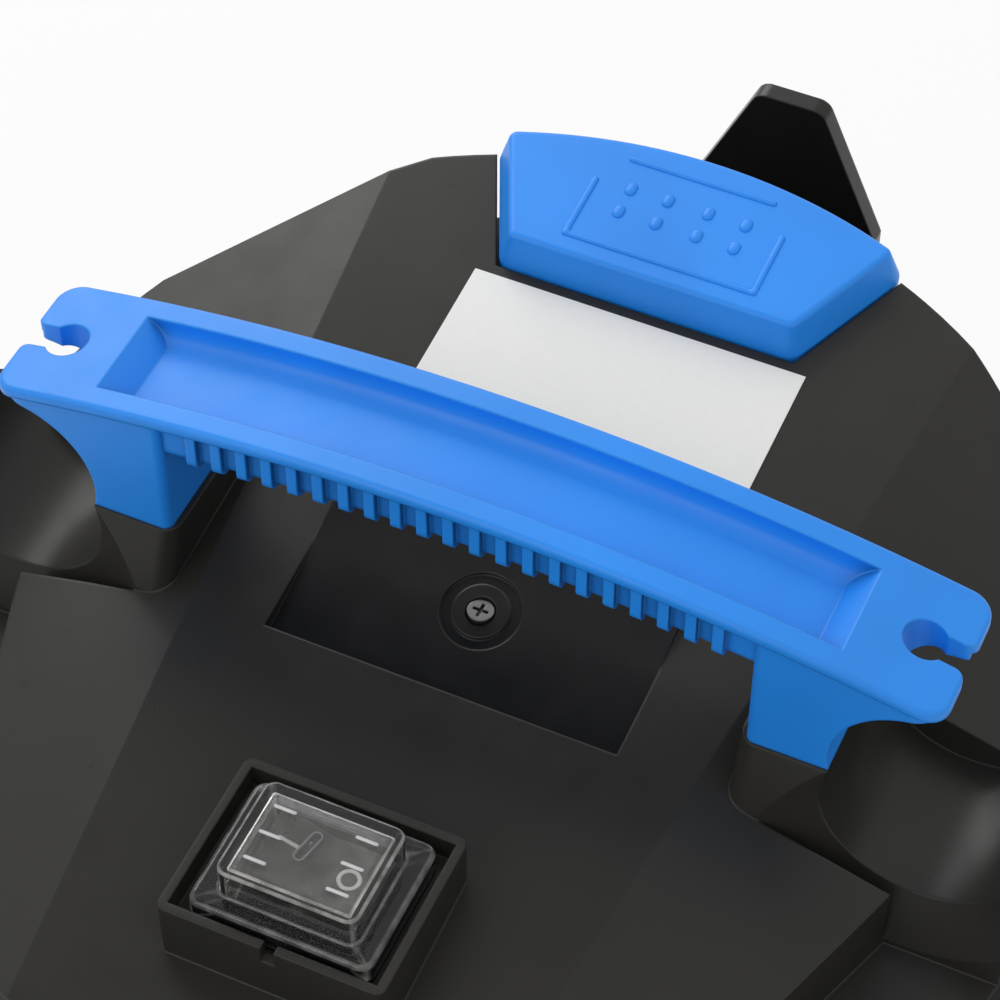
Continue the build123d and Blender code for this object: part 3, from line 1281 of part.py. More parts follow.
def make_armature():
    """Slotted armature core."""
    core = ring(STATOR_BORE_R - AIR_GAP, SHAFT_R, STATOR_Z + 1, STATOR_Z + STATOR_HEIGHT - 1)
    slot = slab(STATOR_BORE_R * 0.6, STATOR_BORE_R, -CORE_SLOT_HALF, CORE_SLOT_HALF,
                STATOR_Z, STATOR_Z + STATOR_HEIGHT)
    for index in range(CORE_SLOTS):
        core -= turned(slot, index * 360 / CORE_SLOTS)
    return core


def make_commutator():
    """Copper commutator."""
    return ring(COMMUTATOR_R, SHAFT_R, COMMUTATOR_Z, COMMUTATOR_Z + COMMUTATOR_LENGTH)


def make_impeller():
    """Closed impeller: two discs, vanes and a hub on the shaft."""
    low = IMPELLER_Z + IMPELLER_DISC
    high = low + IMPELLER_GAP
    wheel = ring(IMPELLER_R, IMPELLER_EYE_R, IMPELLER_Z, low)
    wheel += cyl(IMPELLER_R, high, high + IMPELLER_DISC)
    wheel += cyl(IMPELLER_HUB_R, low, high)
    vane = slab(IMPELLER_HUB_R - 1, IMPELLER_R - 1, -VANE_THICK / 2, VANE_THICK / 2, low, high)
    for index in range(IMPELLER_VANES):
        wheel += turned(vane, index * 360 / IMPELLER_VANES)
    return wheel - cyl(SHAFT_R, low, high + IMPELLER_DISC)


# Filter

def make_filter_cage():
    """Cage under the motor well: flange, windows and fins that guide the float."""
    low, high = CAGE_Z, CAGE_TOP_Z
    cage = ring(CAGE_R, CAGE_R - CAGE_WALL, low, high) + cyl(CAGE_R, low, low + CAGE_WALL)
    window_low, window_high = low + CAGE_WINDOW_MARGIN, high - CAGE_WINDOW_MARGIN
    half = CAGE_WINDOW_WIDTH / 2
    window = slab(CAGE_R / 2, CAGE_R + 1, -half, half, window_low, window_high)
    for index in range(CAGE_WINDOWS):
        cage -= turned(window, (index + 0.5) * 360 / CAGE_WINDOWS)
    cage += ring(CAGE_FLANGE_R, CAGE_R - CAGE_WALL, high - CAGE_FLANGE, high)
    fin_start = FLOAT_R + FLOAT_GAP
    fin = slab(fin_start, CAGE_R - 1, -CAGE_FIN / 2, CAGE_FIN / 2, low, high)
    for index in range(CAGE_FINS):
        cage += turned(fin, index * 360 / CAGE_FINS)
    return cage


def make_float_ball():
    """Float that shuts the intake when the tank is full."""
    return Pos(0, 0, CAGE_Z + CAGE_WALL + SEAT_GAP + FLOAT_R) * Sphere(FLOAT_R)


def make_filter_cartridge():
    """Pleated cartridge round the cage."""
    points = []
    for index in range(2 * PLEATS):
        radius = PLEAT_R if index % 2 == 0 else PLEAT_R - PLEAT_DEPTH
        angle = math.pi * index / PLEATS
        points.append((radius * math.cos(angle), radius * math.sin(angle)))
    low, high = CAGE_Z, CAGE_TOP_Z - CAGE_FLANGE
    star = Pos(0, 0, low) * extrude(make_face(Polyline(*points, close=True)), high - low)
    return star - cyl(CAGE_R + SEAT_GAP, low, high)


def make_filter_cap():
    """End cap with a knob that holds the cartridge on the cage."""
    cap = cyl(FILTER_CAP_R, CAGE_Z - FILTER_CAP, CAGE_Z)
    cap = fillet(cap.edges(), FILTER_CAP_EDGE)
    return cap + cyl(FILTER_KNOB_R, CAGE_Z - FILTER_CAP - FILTER_KNOB, CAGE_Z - FILTER_CAP)


def make_terminal_block():
    """Wiring block on the brim beside the motor."""
    half = TERMINAL_LENGTH / 2
    left, right = TERMINAL_X - TERMINAL_WIDTH / 2, TERMINAL_X + TERMINAL_WIDTH / 2
    block = slab(left, right, -half, half, COVER_Z, COVER_Z + TERMINAL_HEIGHT)
    for index in range(TERMINAL_WAYS):
        y = -half + (index + 0.5) * TERMINAL_LENGTH / TERMINAL_WAYS
        block -= cyl(TERMINAL_HOLE_R, COVER_Z + TERMINAL_HEIGHT / 2, COVER_Z + TERMINAL_HEIGHT, TERMINAL_X, y)
    return block


def make_parts():
    """Every piece of the vacuum, by name."""
    parts = {
        "tank": make_tank(),
        "tank_bottom": make_tank_bottom(),
        "base_tray": make_base_tray(),
        "inlet_seal": make_inlet_seal(),
        "inlet_flange": make_inlet_flange(),
        "inlet_deflector": make_inlet_deflector(),
        "head_seal": make_head_seal(),
        "head_base": make_head_base(),
        "latch_right": make_latch(),
        "latch_left": mirrored(make_latch()),
        "latch_pins": make_latch_pins(),
        "motor_cover": make_motor_cover(),
        "handle": make_handle(),
        "handle_screws": make_handle_screws(),
        "centre_screw": make_centre_screw(),
        "cover_screws": make_cover_screws(),
        "switch_body": make_switch_body(),
        "switch_rocker": make_switch_rocker(),
        "switch_cover": make_switch_cover(),
        "rating_label": make_rating_label(),
        "clean_button": make_clean_button(),
        "clean_valve": make_clean_valve(),
        "valve_seal": make_valve_seal(),
        "button_spring": make_button_spring(),
        "rear_hook": make_rear_hook(),
        "socket_outlet": make_socket_outlet(),
        "socket_lid": make_socket_lid(),
        "lid_pin": make_lid_pin(),
        "cord_gland": make_cord_gland(),
        "exhaust_grilles": make_exhaust_grilles(),
        "fan_can": make_fan_can(),
        "motor_seal": make_motor_seal(),
        "motor_bracket": make_motor_bracket(),
        "motor_mount": make_motor_mount(),
        "lower_bearing": make_bearing(CAN_TOP_Z),
        "upper_bearing": make_bearing(UPPER_BEARING_Z),
        "stator": make_stator(),
        "carbon_brushes": make_carbon_brushes(),
        "brush_holders": make_brush_holders(),
        "rotor_shaft": make_rotor_shaft(),
        "armature": make_armature(),
        "commutator": make_commutator(),
        "impeller": make_impeller(),
        "filter_cage": make_filter_cage(),
        "float_ball": make_float_ball(),
        "filter_cartridge": make_filter_cartridge(),
        "filter_cap": make_filter_cap(),
        "terminal_block": make_terminal_block(),
    }
    corners = ("front_right", "front_left", "rear_right", "rear_left")
    for corner, angle in zip(corners, caster_angles()):
        parts["caster_fork_" + corner] = caster_part(make_fork(), angle)
        parts["caster_axle_" + corner] = caster_part(make_axle(), angle)
        parts["caster_wheel_" + corner] = caster_part(make_wheel(), angle)
    return parts


def main():
    """Write one file for each piece."""
    os.makedirs("parts", exist_ok=True)
    for name, shape in make_parts().items():
        export_step(shape, "parts/" + name + ".step")


main()
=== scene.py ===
"""Looks of a wet and dry shop vacuum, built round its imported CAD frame. All lengths are metres."""

import json
import math

import bmesh
import bpy
import numpy as np
from bpy.props import FloatProperty, FloatVectorProperty, PointerProperty
from bpy.types import Operator, Panel, PropertyGroup
from mathutils import Matrix, Vector

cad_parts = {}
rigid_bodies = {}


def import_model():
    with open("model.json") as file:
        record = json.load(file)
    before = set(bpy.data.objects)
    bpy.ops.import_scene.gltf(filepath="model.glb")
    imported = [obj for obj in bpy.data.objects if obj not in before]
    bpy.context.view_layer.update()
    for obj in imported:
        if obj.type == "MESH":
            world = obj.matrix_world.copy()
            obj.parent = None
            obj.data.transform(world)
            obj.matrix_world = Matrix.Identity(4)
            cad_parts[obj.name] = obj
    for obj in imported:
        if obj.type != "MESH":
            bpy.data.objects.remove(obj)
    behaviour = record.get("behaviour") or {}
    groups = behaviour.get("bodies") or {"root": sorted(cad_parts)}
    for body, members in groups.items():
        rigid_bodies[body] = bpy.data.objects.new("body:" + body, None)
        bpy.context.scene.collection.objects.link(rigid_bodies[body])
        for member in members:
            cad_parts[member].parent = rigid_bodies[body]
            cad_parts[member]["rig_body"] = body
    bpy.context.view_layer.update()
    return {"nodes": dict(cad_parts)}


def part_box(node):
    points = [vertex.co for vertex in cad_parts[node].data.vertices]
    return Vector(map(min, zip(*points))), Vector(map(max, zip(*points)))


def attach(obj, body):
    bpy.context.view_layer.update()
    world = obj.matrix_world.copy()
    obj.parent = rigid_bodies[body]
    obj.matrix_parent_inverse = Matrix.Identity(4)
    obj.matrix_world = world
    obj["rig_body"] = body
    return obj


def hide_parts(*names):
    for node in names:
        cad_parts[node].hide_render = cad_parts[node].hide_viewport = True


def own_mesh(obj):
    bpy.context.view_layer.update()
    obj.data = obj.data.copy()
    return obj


bl_info = {
    "name": "Shop Vacuum Looks",
    "version": (1, 0, 0),
    "blender": (4, 5, 0),
    "location": "3D View > Sidebar > Vacuum",
    "description": "Finishes, small details and a stage for the shop vacuum",
    "category": "Object",
}

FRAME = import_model()
SLOT_OF = {name: piece.data.materials[0].name for name, piece in FRAME["nodes"].items()}
BODY_OF = {name: piece["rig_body"] for name, piece in FRAME["nodes"].items()}

# Attribute of the clear cap's points: the strength of the painted glint that glows along its edges
GLINT_SHARE = "edge"

# Middle range of a noise pattern, which seldom comes near 0 or 1
NOISE_RANGE = (0.3, 0.7)

# Levels and slopes shared with the CAD source
DECK_Z = 0.4543
DECK_SLOPE = 0.086
DECK_UP = np.array([0.0, -DECK_SLOPE, 1.0]) / math.hypot(DECK_SLOPE, 1.0)
UP = np.array([0.0, 0.0, 1.0])

# Box round the hand scoop, turned with the deck, inside which shade is painted: its middle and half sizes
SCOOP_MIDDLE = (0.0, -0.0050, DECK_Z - 0.0054)
SCOOP_HALF = (0.0413, 0.0170, 0.0050)


# Settings

def length(label, note, value):
    """A length setting in metres."""
    return FloatProperty(name=label, description=note, default=value, unit="LENGTH", subtype="DISTANCE",
                         precision=5)


def colour(label, note, value):
    """A colour setting, linear red, green and blue."""
    return FloatVectorProperty(name=label, description=note, default=value, size=3, min=0.0, max=1.0,
                               subtype="COLOR")


class VacuumSizes(PropertyGroup):
    """Heights of the small raised details."""

    sign_height: length("Sign height", "How far the sign stands off the push block", 0.0005)
    print_height: length("Print height", "Thickness of the switch's printed marks", 0.00008)


class VacuumColours(PropertyGroup):
    """Main colours, as they are written on the surface."""

    black: colour("Black", "Motor cover, brim, hook and tray", (0.0105, 0.0100, 0.0087))
    blue: colour("Blue", "Handle, push block, latches and lid", (0.0160, 0.270, 0.90))
    steel: colour("Steel", "Tank", (0.50, 0.50, 0.51))
    paper: colour("Paper", "Bare label", (0.87, 0.865, 0.83))
    mark: colour("Mark", "Printed switch marks", (0.80, 0.80, 0.79))


class VacuumStage(PropertyGroup):
    """Camera and light."""

    camera_place: FloatVectorProperty(name="Camera place", description="Where the camera stands",
                                      default=(0.1825, -0.3903, 0.9969), size=3, subtype="TRANSLATION")
    camera_aim: FloatVectorProperty(name="Camera aim", description="Point in the middle of the picture",
                                    default=(0.0, 0.00986, 0.480), size=3, subtype="TRANSLATION")
    camera_roll: FloatProperty(name="Camera roll", description="Turn about the line of sight",
                               default=math.radians(0.11), subtype="ANGLE", unit="ROTATION")
    camera_lens: FloatProperty(name="Lens", description="Focal length in millimetres on a 36 mm sensor",
                               default=116.65, min=10.0)
    key_power: FloatProperty(name="Key light", description="Power of the large lamp", default=9.0,
                             subtype="POWER", unit="POWER")
    fill_power: FloatProperty(name="Front light", description="Power of the front lamp", default=4.0,
                              subtype="POWER", unit="POWER")
    backdrop: FloatProperty(name="Backdrop", description="Brightness of the room past the floor's edge",
                            default=0.91)
    room_light: FloatProperty(name="Room light", description="Strength of the even light",
                              default=0.776)
    dim_light: FloatProperty(name="Dim patch", description="Strength of the patch overhead",
                             default=0.024)
    screen_depth: FloatProperty(name="Dark screens", description="How dark the screens in the room are",
                                default=0.6, min=0.0, max=1.0)


# Shader wiring

class Wiring:
    """Places and joins shader nodes in one tree."""

    def __init__(self, tree):
        self.tree = tree

    def put(self, kind, **settings):
        """Adds a node and sets its own settings."""
        made = self.tree.nodes.new(kind)
        for key, value in settings.items():
            setattr(made, key, value)
        return made

    def feed(self, socket, value):
        """Joins an output to a socket, or writes a plain value there."""
        if isinstance(value, bpy.types.NodeSocket):
            self.tree.links.new(value, socket)
        else:
            socket.default_value = value

    def maths(self, operation, *values):
        """One sum on up to three values."""
        made = self.put("ShaderNodeMath", operation=operation)
        for socket, value in zip(made.inputs, values):
            self.feed(socket, value)
        return made.outputs["Value"]

    def noise(self, vector, scale, detail=2.0, roughness=0.5):
        """Cloudy pattern from 0 to 1."""
        made = self.put("ShaderNodeTexNoise")
        self.feed(made.inputs["Vector"], vector)
        self.feed(made.inputs["Scale"], scale)
        made.inputs["Detail"].default_value = detail
        made.inputs["Roughness"].default_value = roughness
        return made.outputs["Fac"]

    def remap(self, value, low, high, to_low, to_high):
        """Straight line from one range to another, held at its ends."""
        made = self.put("ShaderNodeMapRange")
        for name, given in zip(("Value", "From Min", "From Max", "To Min", "To Max"),
                               (value, low, high, to_low, to_high)):
            self.feed(made.inputs[name], given)
        return made.outputs["Result"]

    def spread(self, pattern, middle, reach):
        """A noise pattern's middle range, laid evenly about a value."""
        return self.remap(pattern, *NOISE_RANGE, middle - reach, middle + reach)

    def tint(self, factor, low, high):
        """Mix of two colours."""
        made = self.put("ShaderNodeMix", data_type="RGBA")
        self.feed(made.inputs[0], factor)
        self.feed(made.inputs[6], (*low, 1.0) if isinstance(low, (tuple, list)) else low)
        self.feed(made.inputs[7], (*high, 1.0) if isinstance(high, (tuple, list)) else high)
        return made.outputs[2]

    def bump(self, height, distance, normal=None):
        """Normal from a height pattern."""
        made = self.put("ShaderNodeBump")
        made.inputs["Strength"].default_value = 1.0
        made.inputs["Distance"].default_value = distance
        self.feed(made.inputs["Height"], height)
        if normal is not None:
            self.feed(made.inputs["Normal"], normal)
        return made.outputs["Normal"]

    def group(self, tree, **inputs):
        """Places a node group and feeds its inputs, written with _ for a space."""
        made = self.put("ShaderNodeGroup", node_tree=tree)
        for key, value in inputs.items():
            self.feed(made.inputs[key.replace("_", " ")], value)
        return made.outputs


SOCKETS = {"vector": "NodeSocketVector", "value": "NodeSocketFloat"}


def new_group(name, inputs, outputs):
    """Empty shader group with named sockets, and its wiring, inputs and outputs."""
    tree = bpy.data.node_groups.new(name, "ShaderNodeTree")
    for label, kind in inputs:
        tree.interface.new_socket(name=label, in_out="INPUT", socket_type=SOCKETS[kind])
    for label in outputs:
        kind = "vector" if label == "Normal" else "value"
        tree.interface.new_socket(name=label, in_out="OUTPUT", socket_type=SOCKETS[kind])
    wires = Wiring(tree)
    return tree, wires, wires.put("NodeGroupInput").outputs, wires.put("NodeGroupOutput").inputs


def grain_group():
    """Spark-eroded mould grain: a fine pitted height, slow tone clouds and mid-size gloss patches."""
    tree, wires, given, out = new_group(
        "Moulded Grain", [("Vector", "vector"), ("Grain Size", "value"), ("Cloud Size", "value")],
        ["Height", "Tone", "Gloss"])
    place = given["Vector"]
    patches_per_cloud = 6.0
    patch_share = 0.6
    fine_scale = wires.maths("DIVIDE", 1.0, given["Grain Size"])
    slow_scale = wires.maths("DIVIDE", 1.0, given["Cloud Size"])
    patch_scale = wires.maths("DIVIDE", patches_per_cloud, given["Cloud Size"])
    fine = wires.noise(place, fine_scale, detail=3.0, roughness=0.6)
    slow = wires.noise(place, slow_scale, detail=3.0, roughness=0.55)
    patch = wires.noise(place, patch_scale)
    wires.feed(out["Height"], fine)
    wires.feed(out["Tone"], wires.remap(slow, *NOISE_RANGE, 0.0, 1.0))
    wires.feed(out["Gloss"], wires.maths("ADD", wires.maths("MULTIPLY", patch, patch_share),
                                         wires.maths("MULTIPLY", fine, 1.0 - patch_share)))
    return tree


def edge_group():
    """Soft edges: a normal rounded over a reach, and a broken mask where it leaves the face's own, which
    places the painted edge highlight.
    """
    tree, wires, given, out = new_group("Soft Edge", [("Vector", "vector"), ("Reach", "value")],
                                        ["Normal", "Mask"])
    turn_starts, turn_full = 0.995, 0.86
    # Size, range and least share of the painted highlight's patches along the edges
    highlight_scale, highlight_range, highlight_least = 160.0, (0.32, 0.62), 0.35
    soft = wires.put("ShaderNodeBevel", samples=8)
    wires.feed(soft.inputs["Radius"], given["Reach"])
    face = wires.put("ShaderNodeNewGeometry")
    turn = wires.put("ShaderNodeVectorMath", operation="DOT_PRODUCT")
    wires.feed(turn.inputs[0], soft.outputs["Normal"])
    wires.feed(turn.inputs[1], face.outputs["Normal"])
    edge = wires.remap(turn.outputs["Value"], turn_starts, turn_full, 0.0, 1.0)
    highlight_noise = wires.noise(given["Vector"], highlight_scale, detail=3.0)
    patches = wires.remap(highlight_noise, *highlight_range, highlight_least, 1.0)
    wires.feed(out["Mask"], wires.maths("MULTIPLY", edge, patches))
    wires.feed(out["Normal"], soft.outputs["Normal"])
    return tree


def brush_group():
    """Brushing round an upright axis: noise drawn out along the turn and fine along the height."""
    tree, wires, given, out = new_group("Turned Brush", [("Vector", "vector"), ("Line Size", "value")],
                                        ["Height", "Tone"])
    line_turns, band_turns, band_rows = 4.0, 1.5, 0.06
    parts = wires.put("ShaderNodeSeparateXYZ")
    wires.feed(parts.inputs[0], given["Vector"])
    turn = wires.maths("ARCTAN2", parts.outputs["Y"], parts.outputs["X"])
    rows = wires.maths("DIVIDE", parts.outputs["Z"], given["Line Size"])
    lines = wires.put("ShaderNodeCombineXYZ")
    wires.feed(lines.inputs["X"], wires.maths("MULTIPLY", turn, line_turns))
    wires.feed(lines.inputs["Y"], rows)
    wires.feed(out["Height"], wires.noise(lines.outputs[0], 1.0, detail=3.0, roughness=0.65))
    bands = wires.put("ShaderNodeCombineXYZ")
    wires.feed(bands.inputs["X"], wires.maths("MULTIPLY", turn, band_turns))
    wires.feed(bands.inputs["Y"], wires.maths("MULTIPLY", rows, band_rows))
    wires.feed(out["Tone"], wires.noise(bands.outputs[0], 1.0))
    return tree


def fibre_group():
    """Paper fibre: two crossed noises, each drawn out along one way."""
    tree, wires, given, out = new_group("Paper Fibre", [("Vector", "vector"), ("Fibre Size", "value")],
                                        ["Height", "Tone"])
    scale = wires.maths("DIVIDE", 1.0, given["Fibre Size"])
    drawn_out = 0.2
    layers = []
    for stretch in ((drawn_out, 1.0, 1.0), (1.0, drawn_out, 1.0)):
        crossed = wires.put("ShaderNodeMapping")
        wires.feed(crossed.inputs["Vector"], given["Vector"])
        crossed.inputs["Scale"].default_value = stretch
        layers.append(wires.noise(crossed.outputs[0], scale, detail=3.0, roughness=0.6))
    wires.feed(out["Height"], wires.maths("MAXIMUM", *layers))
    wires.feed(out["Tone"], wires.maths("MULTIPLY", *layers))
    return tree


GROUPS = {}


def shared(maker):
    """A node group, built the first time it is asked for."""
    if maker.__name__ not in GROUPS:
        GROUPS[maker.__name__] = maker()
    return GROUPS[maker.__name__]


# Finishes

def new_finish(name):
    """Empty material with its wiring, Principled shader and Object coordinates."""
    material = bpy.data.materials.new(name)
    material.use_nodes = True
    material.node_tree.nodes.clear()
    wires = Wiring(material.node_tree)
    shader = wires.put("ShaderNodeBsdfPrincipled")
    wires.feed(wires.put("ShaderNodeOutputMaterial").inputs["Surface"], shader.outputs["BSDF"])
    place = wires.put("ShaderNodeTexCoord").outputs["Object"]
    return material, wires, shader.inputs, place


def shade(base, factor):
    """A colour made lighter or darker."""
    return tuple(min(1.0, channel * factor) for channel in base)


def scoop_shade_mask(wires, place):
    """Mask of the painted shade in the hand scoop: 0 outside its box and at deck level, and 1 at its deep
    front.
    """
    wall, deep = 0.98, 0.45
    box = wires.put("ShaderNodeMapping", vector_type="TEXTURE")
    wires.feed(box.inputs["Vector"], place)
    box.inputs["Location"].default_value = SCOOP_MIDDLE
    box.inputs["Rotation"].default_value = (math.atan(DECK_SLOPE), 0.0, 0.0)
    box.inputs["Scale"].default_value = SCOOP_HALF
    size = wires.put("ShaderNodeVectorMath", operation="ABSOLUTE")
    wires.feed(size.inputs[0], box.outputs[0])
    ways = wires.put("ShaderNodeSeparateXYZ")
    wires.feed(ways.inputs[0], size.outputs[0])
    sideways = wires.maths("MAXIMUM", ways.outputs["X"], ways.outputs["Y"])
    within = wires.remap(sideways, wall, 1.0, 1.0, 0.0)
    heights = wires.put("ShaderNodeSeparateXYZ")
    wires.feed(heights.inputs[0], box.outputs[0])
    return wires.maths("MULTIPLY", within, wires.remap(heights.outputs["Z"], 1.0, deep, 0.0, 1.0))


def corner_shade_mask(wires):
    """Mask of the painted shade in narrow corners of a piece: 0 deep between close walls, and 1 where it
    lies open.
    """
    shut, open_air, look_round = 0.35, 0.9, 0.005
    nook = wires.put("ShaderNodeAmbientOcclusion", samples=8, only_local=True)
    nook.inputs["Distance"].default_value = look_round
    return wires.remap(nook.outputs["AO"], shut, open_air, 0.0, 1.0)


def moulded(name, base, rough, specular, grain=0.00045, depth=0.00003, edge_highlight=1.5, scoop=1.0, corner=1.0):
    """Moulded plastic: grain, slow tone clouds, gloss patches and soft edges, lightened in broken patches
    as a painted highlight.

    A scoop share below 1 paints shade into the hand scoop, and a corner share below 1 paints shade into
    narrow corners; the edge highlight factor paints a highlight along the edges.
    """
    material, wires, shader, place = new_finish(name)
    grains = wires.group(shared(grain_group), Vector=place, Grain_Size=grain, Cloud_Size=0.055)
    edges = wires.group(shared(edge_group), Vector=place, Reach=0.0008)
    body = wires.tint(grains["Tone"], shade(base, 0.92), shade(base, 1.08))
    # Painted shade: narrow corners darkened where other walls lie close
    if corner < 1.0:
        body = wires.tint(corner_shade_mask(wires), shade(base, corner), body)
    # Painted highlight: the edges lightened in broken patches
    body = wires.tint(edges["Mask"], body, shade(base, edge_highlight))
    # Painted shade: the hand scoop darkened towards its deep front
    if scoop < 1.0:
        body = wires.tint(scoop_shade_mask(wires, place), body, shade(base, scoop))
    wires.feed(shader["Base Color"], body)
    wires.feed(shader["Roughness"], wires.spread(grains["Gloss"], rough, 0.06))
    wires.feed(shader["Normal"], wires.bump(grains["Height"], depth, edges["Normal"]))
    shader["Specular IOR Level"].default_value = specular
    return material


def rubber(name):
    """Soft black rubber with a chalky bloom."""
    material, wires, shader, place = new_finish(name)
    clean, bloom = (0.012, 0.012, 0.012), (0.022, 0.022, 0.021)
    grains = wires.group(shared(grain_group), Vector=place, Grain_Size=0.0006, Cloud_Size=0.02)
    wires.feed(shader["Base Color"], wires.tint(grains["Tone"], clean, bloom))
    wires.feed(shader["Roughness"], wires.spread(grains["Gloss"], 0.74, 0.08))
    wires.feed(shader["Normal"], wires.bump(grains["Height"], 0.00005))
    shader["Specular IOR Level"].default_value = 0.3
    return material


def metal(name, base, rough, grain=0.0008, depth=0.00001):
    """Plated, cast or pressed metal with faint clouds and pits."""
    material, wires, shader, place = new_finish(name)
    grains = wires.group(shared(grain_group), Vector=place, Grain_Size=grain, Cloud_Size=0.012)
    wires.feed(shader["Base Color"], wires.tint(grains["Tone"], shade(base, 0.88), shade(base, 1.12)))
    wires.feed(shader["Roughness"], wires.spread(grains["Gloss"], rough, 0.08))
    edges = wires.group(shared(edge_group), Vector=place, Reach=0.0004)
    wires.feed(shader["Normal"], wires.bump(grains["Height"], depth, edges["Normal"]))
    shader["Metallic"].default_value = 1.0
    return material


def brushed_drum(name, base):
    """Stainless sheet, brushed round the drum."""
    material, wires, shader, place = new_finish(name)
    lines = wires.group(shared(brush_group), Vector=place, Line_Size=0.0005)
    wires.feed(shader["Base Color"], wires.tint(lines["Tone"], shade(base, 0.9), shade(base, 1.08)))
    smooth, dull = 0.22, 0.42
    wires.feed(shader["Roughness"], wires.remap(lines["Height"], 0.25, 0.75, smooth, dull))
    wires.feed(shader["Normal"], wires.bump(lines["Height"], 0.000012))
    shader["Metallic"].default_value = 1.0
    return material


def paper(name, base, fibre, depth, rough, sheen=0.0):
    """Fibrous paper, plain or under a thin varnish."""
    material, wires, shader, place = new_finish(name)
    fibres = wires.group(shared(fibre_group), Vector=place, Fibre_Size=fibre)
    wires.feed(shader["Base Color"], wires.tint(fibres["Tone"], shade(base, 1.04), shade(base, 0.94)))
    wires.feed(shader["Roughness"], wires.remap(fibres["Height"], 0.3, 0.8, rough - 0.06, rough + 0.06))
    wires.feed(shader["Normal"], wires.bump(fibres["Height"], depth))
    shader["Coat Weight"].default_value = sheen
    shader["Coat Roughness"].default_value = 0.3
    return material


def clear_plastic(name):
    """Clear soft plastic with a faint ripple, a little haze and painted glints that glow along its edges.
    """
    material, wires, shader, place = new_finish(name)
    grains = wires.group(shared(grain_group), Vector=place, Grain_Size=0.0035, Cloud_Size=0.02)
    wires.feed(shader["Roughness"], wires.remap(grains["Tone"], 0.0, 1.0, 0.02, 0.05))
    wires.feed(shader["Normal"], wires.bump(grains["Height"], 0.00001))
    # Painted glints: the edges glow in broken patches
    glint_scale, glint_range, glint_least = 260.0, (0.35, 0.65), 0.35
    dark, bright = (0.0, 0.0, 0.0), (1.0, 0.98, 0.95)
    edge = wires.put("ShaderNodeAttribute", attribute_name=GLINT_SHARE).outputs["Fac"]
    broken = wires.remap(wires.noise(place, glint_scale), *glint_range, glint_least, 1.0)
    wires.feed(shader["Emission Color"], wires.tint(wires.maths("MULTIPLY", edge, broken), dark, bright))
    shader["Emission Strength"].default_value = 0.22
    shader["Base Color"].default_value = (0.97, 0.96, 0.94, 1.0)
    shader["IOR"].default_value = 1.42
    shader["Transmission Weight"].default_value = 0.985
    return material


def finish_table(colours):
    """Material for each of the record's slots, for the motor cover and for the marks.

    After its name, each has its colour, its roughness and, on plastics, its specular level.
    """
    black, blue = tuple(colours.black), tuple(colours.blue)
    cover = shade(black, 2.4)
    return {
        # Each moulded finish paints a highlight along its edges, by its edge highlight factor
        "black_plastic": moulded("grained_black", black, 0.32, 0.36, depth=0.000012),
        # The cover's scoop share paints shade into the hand scoop
        "motor_cover": moulded("cover_black", cover, 0.32, 0.27, depth=0.000012, edge_highlight=1.3, scoop=0.3),
        # The blue's corner share paints shade into narrow corners, such as between the handle's ribs
        "blue_plastic": moulded("satin_blue", blue, 0.42, 0.44, depth=0.000015, edge_highlight=1.2, corner=0.3),
        "switch_black": moulded("gloss_black", (0.010, 0.010, 0.010), 0.24, 0.36, depth=0.000006),
        "wheel_plastic": moulded("caster_black", (0.03, 0.03, 0.03), 0.48, 0.4),
        "float_plastic": moulded("float_white", (0.80, 0.80, 0.77), 0.42, 0.45, edge_highlight=1.05),
        "carbon": moulded("pressed_carbon", (0.018, 0.018, 0.019), 0.6, 0.4, grain=0.0003),
        "seal_rubber": rubber("seal_rubber_bloom"),
        "drum_steel": brushed_drum("brushed_drum_steel", tuple(colours.steel)),
        "pin_steel": metal("zinc_plate", (0.52, 0.52, 0.53), 0.34),
        "screw_steel": metal("dark_zinc", (0.16, 0.155, 0.15), 0.42),
        "caster_steel": metal("caster_zinc", (0.50, 0.50, 0.49), 0.36, grain=0.0012),
        "motor_steel": metal("pressed_steel", (0.46, 0.46, 0.47), 0.40),
        "core_iron": metal("laminated_iron", (0.17, 0.17, 0.18), 0.52, grain=0.0005, depth=0.00003),
        "copper": metal("bare_copper", (0.70, 0.40, 0.22), 0.32),
        "fan_alloy": metal("fan_alloy_sheet", (0.68, 0.68, 0.70), 0.36),
        "filter_paper": paper("pleated_paper", (0.78, 0.75, 0.66), 0.0014, 0.00008, 0.86),
        "label_white": paper("varnished_label", tuple(colours.paper), 0.0007, 0.000012, 0.55, 0.15),
        "clear_cap": clear_plastic("clear_cap_plastic"),
        "mark": moulded("printed_mark", tuple(colours.mark), 0.5, 0.4, edge_highlight=1.0),
        # Light grey of the lens: a painted highlight on the rim of a clear moulded pin
        "lens_highlight": moulded("painted_lens_highlight", shade(colours.mark, 0.35), 0.3, 0.5, edge_highlight=1.0),
    }


FINISH = {}


# Mesh helpers

def link_piece(name, mesh, body, slot, finish=None):
    """Puts a finished mesh into the scene as a piece that rides on a CAD body."""
    piece = bpy.data.objects.new(name, mesh)
    bpy.context.scene.collection.objects.link(piece)
    mesh.materials.clear()
    mesh.materials.append(FINISH[finish or slot])
    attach(piece, body)
    return piece


def quads(rows, columns, wrap_rows):
    """Corner numbers of a grid's quads. Columns always close on themselves."""
    last = rows if wrap_rows else rows - 1
    row, column = np.meshgrid(np.arange(last), np.arange(columns), indexing="ij")
    after, beside = (row + 1) % rows, (column + 1) % columns
    near, far = row * columns, after * columns
    corners = (near + column, near + beside, far + beside, far + column)
    return np.stack(corners, axis=-1).reshape(-1, 4)


